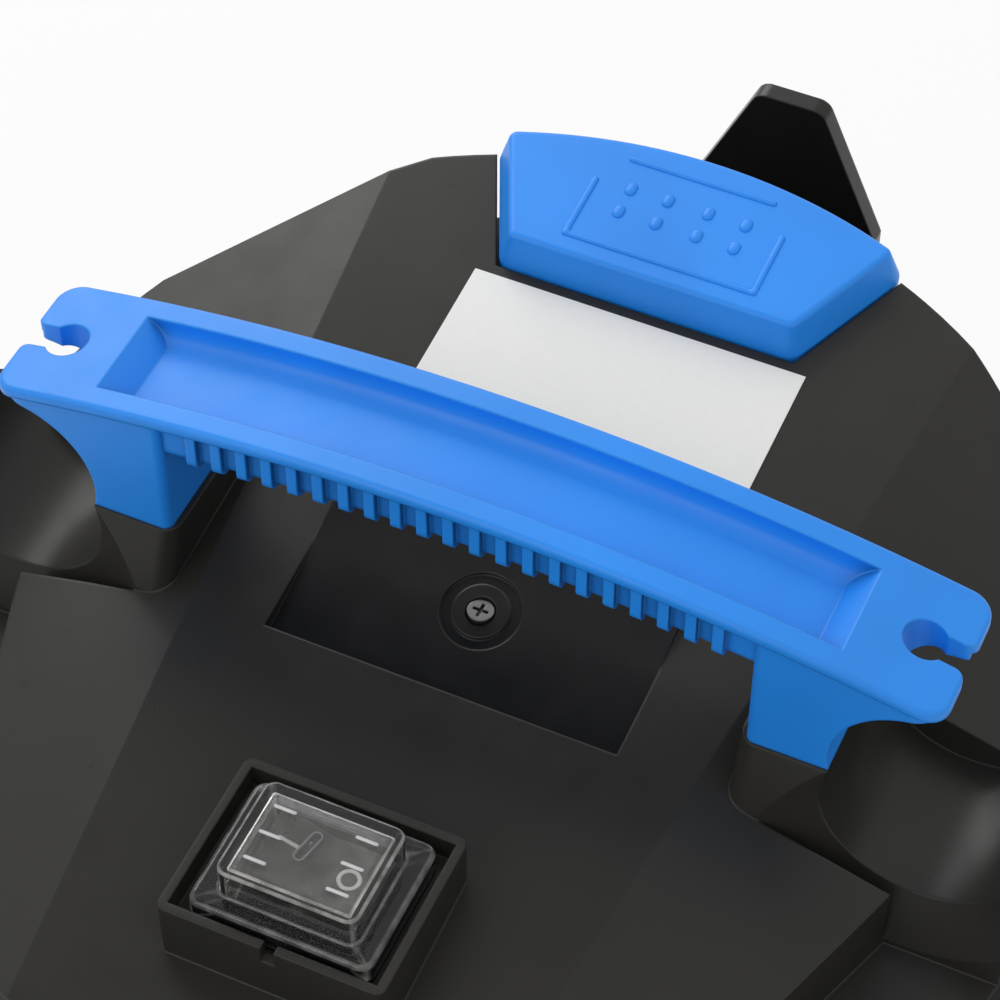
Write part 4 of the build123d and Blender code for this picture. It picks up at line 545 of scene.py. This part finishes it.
def tube_parts(path, across, up, half_width, half_height, closed, sides=14):
    """Oval tube: point = path + across * w * cos(a) + up * h * sin(a), with flat faces at open ends."""
    angle = np.linspace(0.0, 2.0 * math.pi, sides, endpoint=False)
    wide = (across * half_width[:, None])[:, None, :] * np.cos(angle)[None, :, None]
    tall = (up * half_height[:, None])[:, None, :] * np.sin(angle)[None, :, None]
    points = (path[:, None, :] + wide + tall).reshape(-1, 3)
    faces = quads(len(path), sides, closed).tolist()
    if not closed:
        faces.append(list(range(sides)))
        faces.append(list(range(len(points) - 1, len(points) - 1 - sides, -1)))
    return points, faces


def bar_parts(start, end, up, half_width, half_height, steps=17):
    """Bar with round ends: a tube along a line, thinned near its ends as the root of 1 - t squared."""
    start, end = np.asarray(start, float), np.asarray(end, float)
    along = end - start
    reach = np.linalg.norm(along)
    along = along / reach
    turn = np.linspace(0.0, math.pi / 2, steps // 2 + 1)
    head = half_width * (1.0 - np.cos(turn))
    travel = np.concatenate([head, reach + 2.0 * half_width - head[::-1]]) - half_width
    least = 0.02
    share = np.maximum(np.concatenate([np.sin(turn), np.sin(turn)[::-1]]), least)
    path = start + along * travel[:, None]
    side = np.cross(up, along)
    count = len(travel)
    return tube_parts(path, np.tile(side, (count, 1)), np.tile(up, (count, 1)), half_width * share,
                      half_height * share, False)


def ring_parts(centre, first, second, radius, half_width, half_height, steps=40, sides=12):
    """Ring: a closed tube round a circle in the plane of two directions."""
    turn = np.linspace(0.0, 2.0 * math.pi, steps, endpoint=False)[:, None]
    out = first * np.cos(turn) + second * np.sin(turn)
    up = np.tile(np.cross(first, second), (steps, 1))
    path = np.asarray(centre, float) + radius * out
    wide, tall = np.full(steps, half_width), np.full(steps, half_height)
    return tube_parts(path, out, up, wide, tall, True, sides)


def loop_parts(start, end, up, radius, half_width, half_height, steps=24, sides=10):
    """Long loop: a closed tube round two half circles joined by straight sides."""
    along = (end - start) / np.linalg.norm(end - start)
    side = np.cross(up, along)
    turn = np.linspace(-math.pi / 2, math.pi / 2, steps)[:, None]
    far = along * np.cos(turn) + side * np.sin(turn)
    out = np.concatenate([far, -far])
    path = np.concatenate([end + radius * far, start - radius * far])
    count = len(path)
    wide, tall = np.full(count, half_width), np.full(count, half_height)
    return tube_parts(path, out, np.tile(up, (count, 1)), wide, tall, True, sides)


def coil_parts(foot, height, radius, wire, turns, steps=24, sides=10):
    """Coil: a round tube along foot + radius * (cos t, sin t), with its height rising evenly with t."""
    turn = np.linspace(0.0, 2.0 * math.pi * turns, turns * steps + 1)[:, None]
    out = np.hstack([np.cos(turn), np.sin(turn), np.zeros_like(turn)])
    path = np.asarray(foot, float) + radius * out + UP * height * turn / turn[-1]
    up = np.cross(np.gradient(path, axis=0), out)
    up /= np.linalg.norm(up, axis=1, keepdims=True)
    thick = np.full(len(path), wire)
    return tube_parts(path, out, up, thick, thick, False, sides)


def arc_rows(start, end, steps=6):
    """Rows of a quarter round between two rows of half x, half y, corner and height: by sine and cosine."""
    turn = np.linspace(0.0, math.pi / 2, steps)[:, None]
    out, down = np.sin(turn), 1.0 - np.cos(turn)
    start, end = np.asarray(start, float), np.asarray(end, float)
    rows = start + (end - start) * out
    rows[:, 3:] = start[3:] + (end - start)[3:] * down
    return rows


def shell_parts(rows, middle, steps=9):
    """Shell carried round a rounded rectangle: point = corner centre + corner radius * (cos a, sin a)."""
    half_x, half_y, corner, height = (column[:, None] for column in np.asarray(rows).T)
    turn = np.linspace(0.0, math.pi / 2, steps)
    angle = np.concatenate([turn + quarter * math.pi / 2 for quarter in range(4)])
    side_x, side_y = np.repeat([1, -1, -1, 1], steps), np.repeat([1, 1, -1, -1], steps)
    x = middle[0] + side_x * (half_x - corner) + corner * np.cos(angle)
    y = middle[1] + side_y * (half_y - corner) + corner * np.sin(angle)
    points = np.stack([x, y, np.broadcast_to(height, x.shape)], axis=-1).reshape(-1, 3)
    count = 4 * steps
    faces = quads(len(rows), count, False).tolist()
    faces.append(list(range(count)))
    faces.append(list(range(len(points) - 1, len(points) - 1 - count, -1)))
    return points, faces


def joined(name, parts):
    """One mesh from several lists of points and faces, with faces turned outwards."""
    points, faces, count = [], [], 0
    for some_points, some_faces in parts:
        points.append(some_points)
        faces.extend([[corner + count for corner in face] for face in some_faces])
        count += len(some_points)
    mesh = bpy.data.meshes.new(name)
    mesh.from_pydata(np.concatenate(points).tolist(), [], faces)
    form = bmesh.new()
    form.from_mesh(mesh)
    bmesh.ops.recalc_face_normals(form, faces=form.faces)
    form.to_mesh(mesh)
    form.free()
    mesh.shade_smooth()
    return mesh


# Height, well over the vacuum, from which plumb lines drop
DROP_FROM = 2.0


def landed(node, x, y):
    """Point and upright where a plumb line through x and y first meets a CAD node."""
    piece = FRAME["nodes"][node]
    turn = piece.matrix_world.to_3x3()
    back = piece.matrix_world.inverted()
    above = back @ Vector((x, y, DROP_FROM))
    down = turn.inverted() @ Vector((0.0, 0.0, -1.0))
    hit, place, normal, _ = piece.ray_cast(above, down)
    if not hit:
        raise RuntimeError(f"nothing of {node} lies under {x}, {y}")
    return np.array(piece.matrix_world @ place), np.array((turn @ normal).normalized())


def on_block(x, y):
    """Point on the sloping top of the push block."""
    return landed("clean_button", x, y)[0]


# Pieces

class VACUUM_OT_finishes(Operator):
    """Build the materials and give each CAD node the one of its slot"""

    bl_idname = "vacuum.finishes"
    bl_label = "Finishes"

    def execute(self, context):
        FINISH.update(finish_table(context.scene.vacuum_colours))
        for name, piece in FRAME["nodes"].items():
            piece.data.materials[0] = FINISH.get(name, FINISH[SLOT_OF[name]])
        return {"FINISHED"}


class VACUUM_OT_push_block(Operator):
    """Push block with a raised sign: a bar, falling drops and a tray under them"""

    bl_idname = "vacuum.push_block"
    bl_label = "Push block"

    bar_half = 0.0176
    bar_back = 0.1227
    tray_half = 0.0232
    tray_top = 0.1137
    tray_floor = 0.0963
    line_half = 0.00085
    drop_columns = (-0.0143, -0.0050, 0.0050, 0.0143)
    drop_rows = (0.1141, 0.1068)
    drop_half = 0.0014
    drop_reach = 0.0006
    drop_rise = 1.3

    def execute(self, context):
        height = context.scene.vacuum_sizes.sign_height
        bar, tray = self.bar_half, self.tray_half
        lines = [
            (on_block(-bar, self.bar_back), on_block(bar, self.bar_back)),
            (on_block(-tray, self.tray_top), on_block(-tray, self.tray_floor)),
            (on_block(-tray, self.tray_floor), on_block(tray, self.tray_floor)),
            (on_block(tray, self.tray_floor), on_block(tray, self.tray_top)),
        ]
        parts = [bar_parts(start, end, DECK_UP, self.line_half, height) for start, end in lines]
        for x in self.drop_columns:
            for y in self.drop_rows:
                ends = [on_block(x, y + way * self.drop_reach) for way in (-1, 1)]
                parts.append(bar_parts(*ends, DECK_UP, self.drop_half, height * self.drop_rise))
        link_piece("push_sign", joined("push_sign", parts), "push_block", "blue_plastic")
        return {"FINISHED"}


class VACUUM_OT_push_spring(Operator):
    """Return spring under the push block"""

    bl_idname = "vacuum.push_spring"
    bl_label = "Push spring"

    wire = 0.0007
    turns = 6

    def execute(self, context):
        low, high = (np.array(corner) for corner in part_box("button_spring"))
        middle = (low + high) / 2
        foot = np.array([middle[0], middle[1], low[2] + self.wire])
        radius = (high - low)[0] / 2 - self.wire
        coil = coil_parts(foot, high[2] - self.wire - foot[2], radius, self.wire, self.turns)
        spring = link_piece("push_spring", joined("push_spring", [coil]), BODY_OF["button_spring"],
                            SLOT_OF["button_spring"])
        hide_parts("button_spring")
        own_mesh(spring)
        return {"FINISHED"}


class VACUUM_OT_switch(Operator):
    """Switch: rocker with printed marks under a clear splash cap with raised grip bars"""

    bl_idname = "vacuum.switch"
    bl_label = "Switch"

    dash_row = -0.0790
    dash_out = 0.0090
    dash_half = 0.0021
    dash_pitch = 0.0066
    dash_wide = 0.00042
    lens_start = (-0.0016, -0.0810)
    lens_end = (-0.0004, -0.0757)
    lens_wide = 0.0011
    lens_line = 0.00022
    lens_bar = (0.62, 0.70)
    ring_place = (0.0081, -0.0790)
    ring_radius = 0.0021
    ring_wide = 0.00045
    stroke_start = (-0.0078, -0.0773)
    stroke_end = (-0.0040, -0.0773)
    cap_half = (0.0155, 0.0122)
    cap_corner = 0.0026
    cap_rise = 0.0078
    cap_wall = 0.0019
    cap_roof = 0.0015
    flange_corner = 0.0030
    edge_round = 0.0007
    flange_round = 0.0012
    foot_share = 0.3
    least_corner = 0.0003
    round_step = 0.0006
    # Painted glint: its share on the lower edges and up the corners, and how narrow it runs at the corners
    lower_share = 0.4
    corner_share = 0.3
    corner_narrow = 2.5

    def clear_cap(self):
        """Splash cap: flange, wall and roof outside, wall and roof inside, with rounded edges."""
        low, high = (np.array(corner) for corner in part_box("switch_cover"))
        middle = (low + high)[:2] / 2
        wide, deep = (high - low)[:2] / 2
        top, shelf = high[2], high[2] - self.cap_rise
        soft, lip = self.edge_round, self.flange_round

        def plan(grow, height):
            corner = max(self.cap_corner + grow, self.least_corner)
            return (self.cap_half[0] + grow, self.cap_half[1] + grow, corner, height)

        def rim(shrink, height):
            return (wide - shrink, deep - shrink, self.flange_corner - shrink, height)

        inside, roof = -self.cap_wall, top - self.cap_roof
        rows = np.concatenate([
            [plan(-2.0 * soft, top)],
            arc_rows(plan(-soft, top), plan(0.0, top - soft)),
            arc_rows(plan(soft, shelf), plan(0.0, shelf + soft))[::-1],
            [rim(2.0 * lip, shelf)],
            arc_rows(rim(lip, shelf), rim(0.0, shelf - lip)),
            [rim(0.0, low[2] + soft)],
            [rim(soft * self.foot_share, low[2])],
            [plan(inside, low[2])],
            arc_rows(plan(inside - soft, roof), plan(inside, roof - soft))[::-1],
            [plan(inside - 2.0 * soft, roof)],
        ])
        parts = shell_parts(rows, middle)
        mesh = joined("splash_cap", [parts])
        share = self.glint_shares(rows, len(parts[0]) // len(rows))
        mesh.attributes.new(GLINT_SHARE, "FLOAT", "POINT").data.foreach_set("value", share.ravel())
        cap = link_piece("splash_cap", mesh, BODY_OF["switch_cover"], "clear_cap")
        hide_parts("switch_cover")

    def glint_shares(self, rows, columns):
        """Strength of the painted glint at each point: most where rows lie close, round an edge, some up
        the corners.
        """
        steps = np.diff(rows[:, [0, 3]], axis=0)
        size = np.hypot(steps[:, 0], steps[:, 1])
        widest = np.maximum(np.append(size, 0.0), np.insert(size, 0, 0.0))
        height = rows[:, 3]
        upper = height > (height.min() + height.max()) / 2
        along = np.where(upper, 1.0, self.lower_share) * (widest < self.round_step)
        quarter = np.abs(np.linspace(-1.0, 1.0, columns // 4))
        across = np.tile(np.clip(1.0 - self.corner_narrow * quarter, 0.0, 1.0), 4)
        return np.maximum(along[:, None], self.corner_share * across[None, :])

    def execute(self, context):
        thick = context.scene.vacuum_sizes.print_height
        cap_body = BODY_OF["switch_cover"]
        dashes = []
        for side in (-1, 1):
            for row in (-1, 0, 1):
                x, y = side * self.dash_out, self.dash_row + row * self.dash_pitch
                ends = [landed("switch_cover", x + way * self.dash_half, y)[0] for way in (-1, 1)]
                dashes.append(bar_parts(*ends, UP, self.dash_wide, thick))
        link_piece("cap_dashes", joined("cap_dashes", dashes), cap_body, "label_white", "mark")
        # Lens: a light loop and bar, painted highlight standing in for the lit rim of a clear moulded pin
        start, end = (landed("switch_cover", *spot)[0] for spot in (self.lens_start, self.lens_end))
        bar = [start + (end - start) * share for share in self.lens_bar]
        lens = [loop_parts(start, end, UP, self.lens_wide, self.lens_line, thick),
                bar_parts(*bar, UP, self.lens_line, thick)]
        link_piece("cap_lens", joined("cap_lens", lens), cap_body, "label_white", "lens_highlight")
        centre, up = landed("switch_rocker", *self.ring_place)
        flat = np.cross(np.array([0.0, 1.0, 0.0]), up)
        flat /= np.linalg.norm(flat)
        ring = ring_parts(centre, flat, np.cross(up, flat), self.ring_radius, self.ring_wide, thick)
        start, up = landed("switch_rocker", *self.stroke_start)
        end = landed("switch_rocker", *self.stroke_end)[0]
        stroke = bar_parts(start, end, up, self.ring_wide, thick)
        link_piece("rocker_marks", joined("rocker_marks", [ring, stroke]), BODY_OF["switch_rocker"],
                   "label_white", "mark")
        self.clear_cap()
        return {"FINISHED"}


class VACUUM_OT_drum_seam(Operator):
    """Weld seam up the back of the drum"""

    bl_idname = "vacuum.drum_seam"
    bl_label = "Drum seam"

    turn = math.radians(100.0)
    drum_radius = 0.165
    half_width = 0.0022
    proud = 0.00035

    def execute(self, context):
        low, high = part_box("tank")
        out = np.array([math.cos(self.turn), math.sin(self.turn), 0.0])
        foot = out * self.drum_radius
        ends = [foot + UP * height for height in (low[2] + self.half_width, high[2] - self.half_width)]
        seam = bar_parts(*ends, out, self.half_width, self.proud)
        link_piece("drum_seam", joined("drum_seam", [seam]), BODY_OF["tank"], "drum_steel")
        return {"FINISHED"}


class VACUUM_OT_stage(Operator):
    """Floor, soft light and camera"""

    bl_idname = "vacuum.stage"
    bl_label = "Stage"

    floor_half = 6.0
    floor_colour = (0.82, 0.82, 0.82, 1.0)
    floor_white = 0.82
    room_colour = (1.0, 1.0, 1.0, 1.0)
    dim_way = (-0.27, 0.13, 0.95)
    dim_starts, dim_full = 0.966, 0.994
    screen_count = 3.0
    screen_range = (0.1, 0.9)
    screen_top = (0.2, 0.5)
    front_range = (-0.3, -0.8)
    lamp_aim = (0.0, 0.0, 0.45)
    key_place, key_size = (-0.96, 1.04, 1.25), 1.0
    front_place, front_size = (-0.45, -1.15, 1.40), 0.9
    sensor_width = 36.0
    nearest = 0.01

    def execute(self, context):
        stage = context.scene.vacuum_stage
        self.make_floor()
        self.make_light(stage)
        self.make_camera(stage)
        context.scene.view_settings.view_transform = "Standard"
        return {"FINISHED"}

    def make_floor(self):
        """Pale floor: white to the eye and in reflections, plain and shadowed for other light."""
        mesh = bpy.data.meshes.new("floor")
        half = self.floor_half
        corners = [(-half, -half, 0), (half, -half, 0), (half, half, 0), (-half, half, 0)]
        mesh.from_pydata(corners, [], [(0, 1, 2, 3)])
        floor = bpy.data.objects.new("floor", mesh)
        bpy.context.scene.collection.objects.link(floor)
        material = bpy.data.materials.new("pale_floor")
        material.use_nodes = True
        material.node_tree.nodes.clear()
        wires = Wiring(material.node_tree)
        plain = wires.put("ShaderNodeBsdfDiffuse")
        plain.inputs["Color"].default_value = self.floor_colour
        white = wires.put("ShaderNodeEmission")
        rays = wires.put("ShaderNodeLightPath").outputs
        seen = wires.maths("MAXIMUM", rays["Is Camera Ray"], rays["Is Transmission Ray"])
        seen = wires.maths("MAXIMUM", seen, rays["Is Glossy Ray"])
        mix = wires.put("ShaderNodeMixShader")
        wires.feed(mix.inputs[0], wires.maths("MULTIPLY", seen, self.floor_white))
        wires.feed(mix.inputs[1], plain.outputs[0])
        wires.feed(mix.inputs[2], white.outputs[0])
        wires.feed(wires.put("ShaderNodeOutputMaterial").inputs["Surface"], mix.outputs[0])
        mesh.materials.append(material)

    def make_light(self, stage):
        """Even room light, and a large lamp at the back left and one in front.

        The room has a dim patch overhead, and low down three dark screens and a dark front.
        """
        world = bpy.data.worlds.new("room")
        bpy.context.scene.world = world
        world.use_nodes = True
        world.node_tree.nodes.clear()
        wires = Wiring(world.node_tree)
        rays = wires.put("ShaderNodeLightPath").outputs
        way = wires.put("ShaderNodeTexCoord").outputs["Generated"]
        near = wires.put("ShaderNodeVectorMath", operation="DOT_PRODUCT")
        wires.feed(near.inputs[0], way)
        near.inputs[1].default_value = Vector(self.dim_way).normalized()
        room = wires.remap(near.outputs["Value"], self.dim_starts, self.dim_full,
                           stage.room_light, stage.dim_light)
        ways = wires.put("ShaderNodeSeparateXYZ")
        wires.feed(ways.inputs[0], way)
        turn = wires.maths("ARCTAN2", ways.outputs["Y"], ways.outputs["X"])
        screens = wires.maths("SINE", wires.maths("MULTIPLY", turn, self.screen_count))
        screens = wires.remap(screens, *self.screen_range, 0.0, 1.0)
        front = wires.remap(ways.outputs["Y"], *self.front_range, 0.0, 1.0)
        level = wires.remap(wires.maths("ABSOLUTE", ways.outputs["Z"]), *self.screen_top, 1.0, 0.0)
        dark = wires.maths("MULTIPLY", wires.maths("MAXIMUM", screens, front), level)
        dark = wires.maths("MULTIPLY", dark, stage.screen_depth)
        room = wires.maths("MULTIPLY", room, wires.maths("SUBTRACT", 1.0, dark))
        back = wires.put("ShaderNodeBackground")
        back.inputs["Color"].default_value = self.room_colour
        seen = wires.maths("MULTIPLY", rays["Is Camera Ray"], stage.backdrop)
        wires.feed(back.inputs["Strength"], wires.maths("MAXIMUM", room, seen))
        wires.feed(wires.put("ShaderNodeOutputWorld").inputs["Surface"], back.outputs[0])
        aim = Vector(self.lamp_aim)
        lamps = (("key_lamp", self.key_place, self.key_size, stage.key_power),
                 ("front_lamp", self.front_place, self.front_size, stage.fill_power))
        for name, place, size, power in lamps:
            lamp = bpy.data.lights.new(name, "AREA")
            lamp.shape = "SQUARE"
            lamp.size = size
            lamp.energy = power
            holder = bpy.data.objects.new(name, lamp)
            holder.location = place
            holder.rotation_euler = (aim - Vector(place)).to_track_quat("-Z", "Y").to_euler()
            bpy.context.scene.collection.objects.link(holder)

    def make_camera(self, stage):
        """Camera at the photograph's place, looking at its middle."""
        data = bpy.data.cameras.new("camera")
        data.sensor_width = self.sensor_width
        data.lens = stage.camera_lens
        data.clip_start = self.nearest
        camera = bpy.data.objects.new("camera", data)
        place, aim = Vector(stage.camera_place), Vector(stage.camera_aim)
        ahead = (aim - place).normalized()
        across = ahead.cross(Vector(UP)).normalized()
        upward = across.cross(ahead)
        turn = stage.camera_roll
        right = across * math.cos(turn) + upward * math.sin(turn)
        top = upward * math.cos(turn) - across * math.sin(turn)
        camera.matrix_world = Matrix((
            (right.x, top.x, -ahead.x, place.x),
            (right.y, top.y, -ahead.y, place.y),
            (right.z, top.z, -ahead.z, place.z),
            (0.0, 0.0, 0.0, 1.0)))
        bpy.context.scene.collection.objects.link(camera)
        bpy.context.scene.camera = camera


OPERATORS = (VACUUM_OT_finishes, VACUUM_OT_push_block, VACUUM_OT_push_spring, VACUUM_OT_switch,
             VACUUM_OT_drum_seam, VACUUM_OT_stage)


class VACUUM_PT_looks(Panel):
    """Lists the steps that dress the vacuum"""

    bl_idname = "VACUUM_PT_looks"
    bl_label = "Vacuum looks"
    bl_space_type = "VIEW_3D"
    bl_region_type = "UI"
    bl_category = "Vacuum"

    def draw(self, context):
        for step in OPERATORS:
            self.layout.operator(step.bl_idname)
        for group in ("vacuum_sizes", "vacuum_colours", "vacuum_stage"):
            settings = getattr(context.scene, group)
            for name in settings.__annotations__:
                self.layout.prop(settings, name)


CLASSES = (VacuumSizes, VacuumColours, VacuumStage, *OPERATORS, VACUUM_PT_looks)


def register():
    """Registers the classes and hangs the settings on the scene."""
    for kind in CLASSES:
        bpy.utils.register_class(kind)
    bpy.types.Scene.vacuum_sizes = PointerProperty(type=VacuumSizes)
    bpy.types.Scene.vacuum_colours = PointerProperty(type=VacuumColours)
    bpy.types.Scene.vacuum_stage = PointerProperty(type=VacuumStage)


def unregister():
    """Takes the settings and classes away again."""
    for name in ("vacuum_sizes", "vacuum_colours", "vacuum_stage"):
        delattr(bpy.types.Scene, name)
    for kind in reversed(CLASSES):
        bpy.utils.unregister_class(kind)


def main():
    """Runs every step in order."""
    register()
    for step in OPERATORS:
        group, name = step.bl_idname.split(".")
        getattr(getattr(bpy.ops, group), name)()


if __name__ == "__main__":
    main()
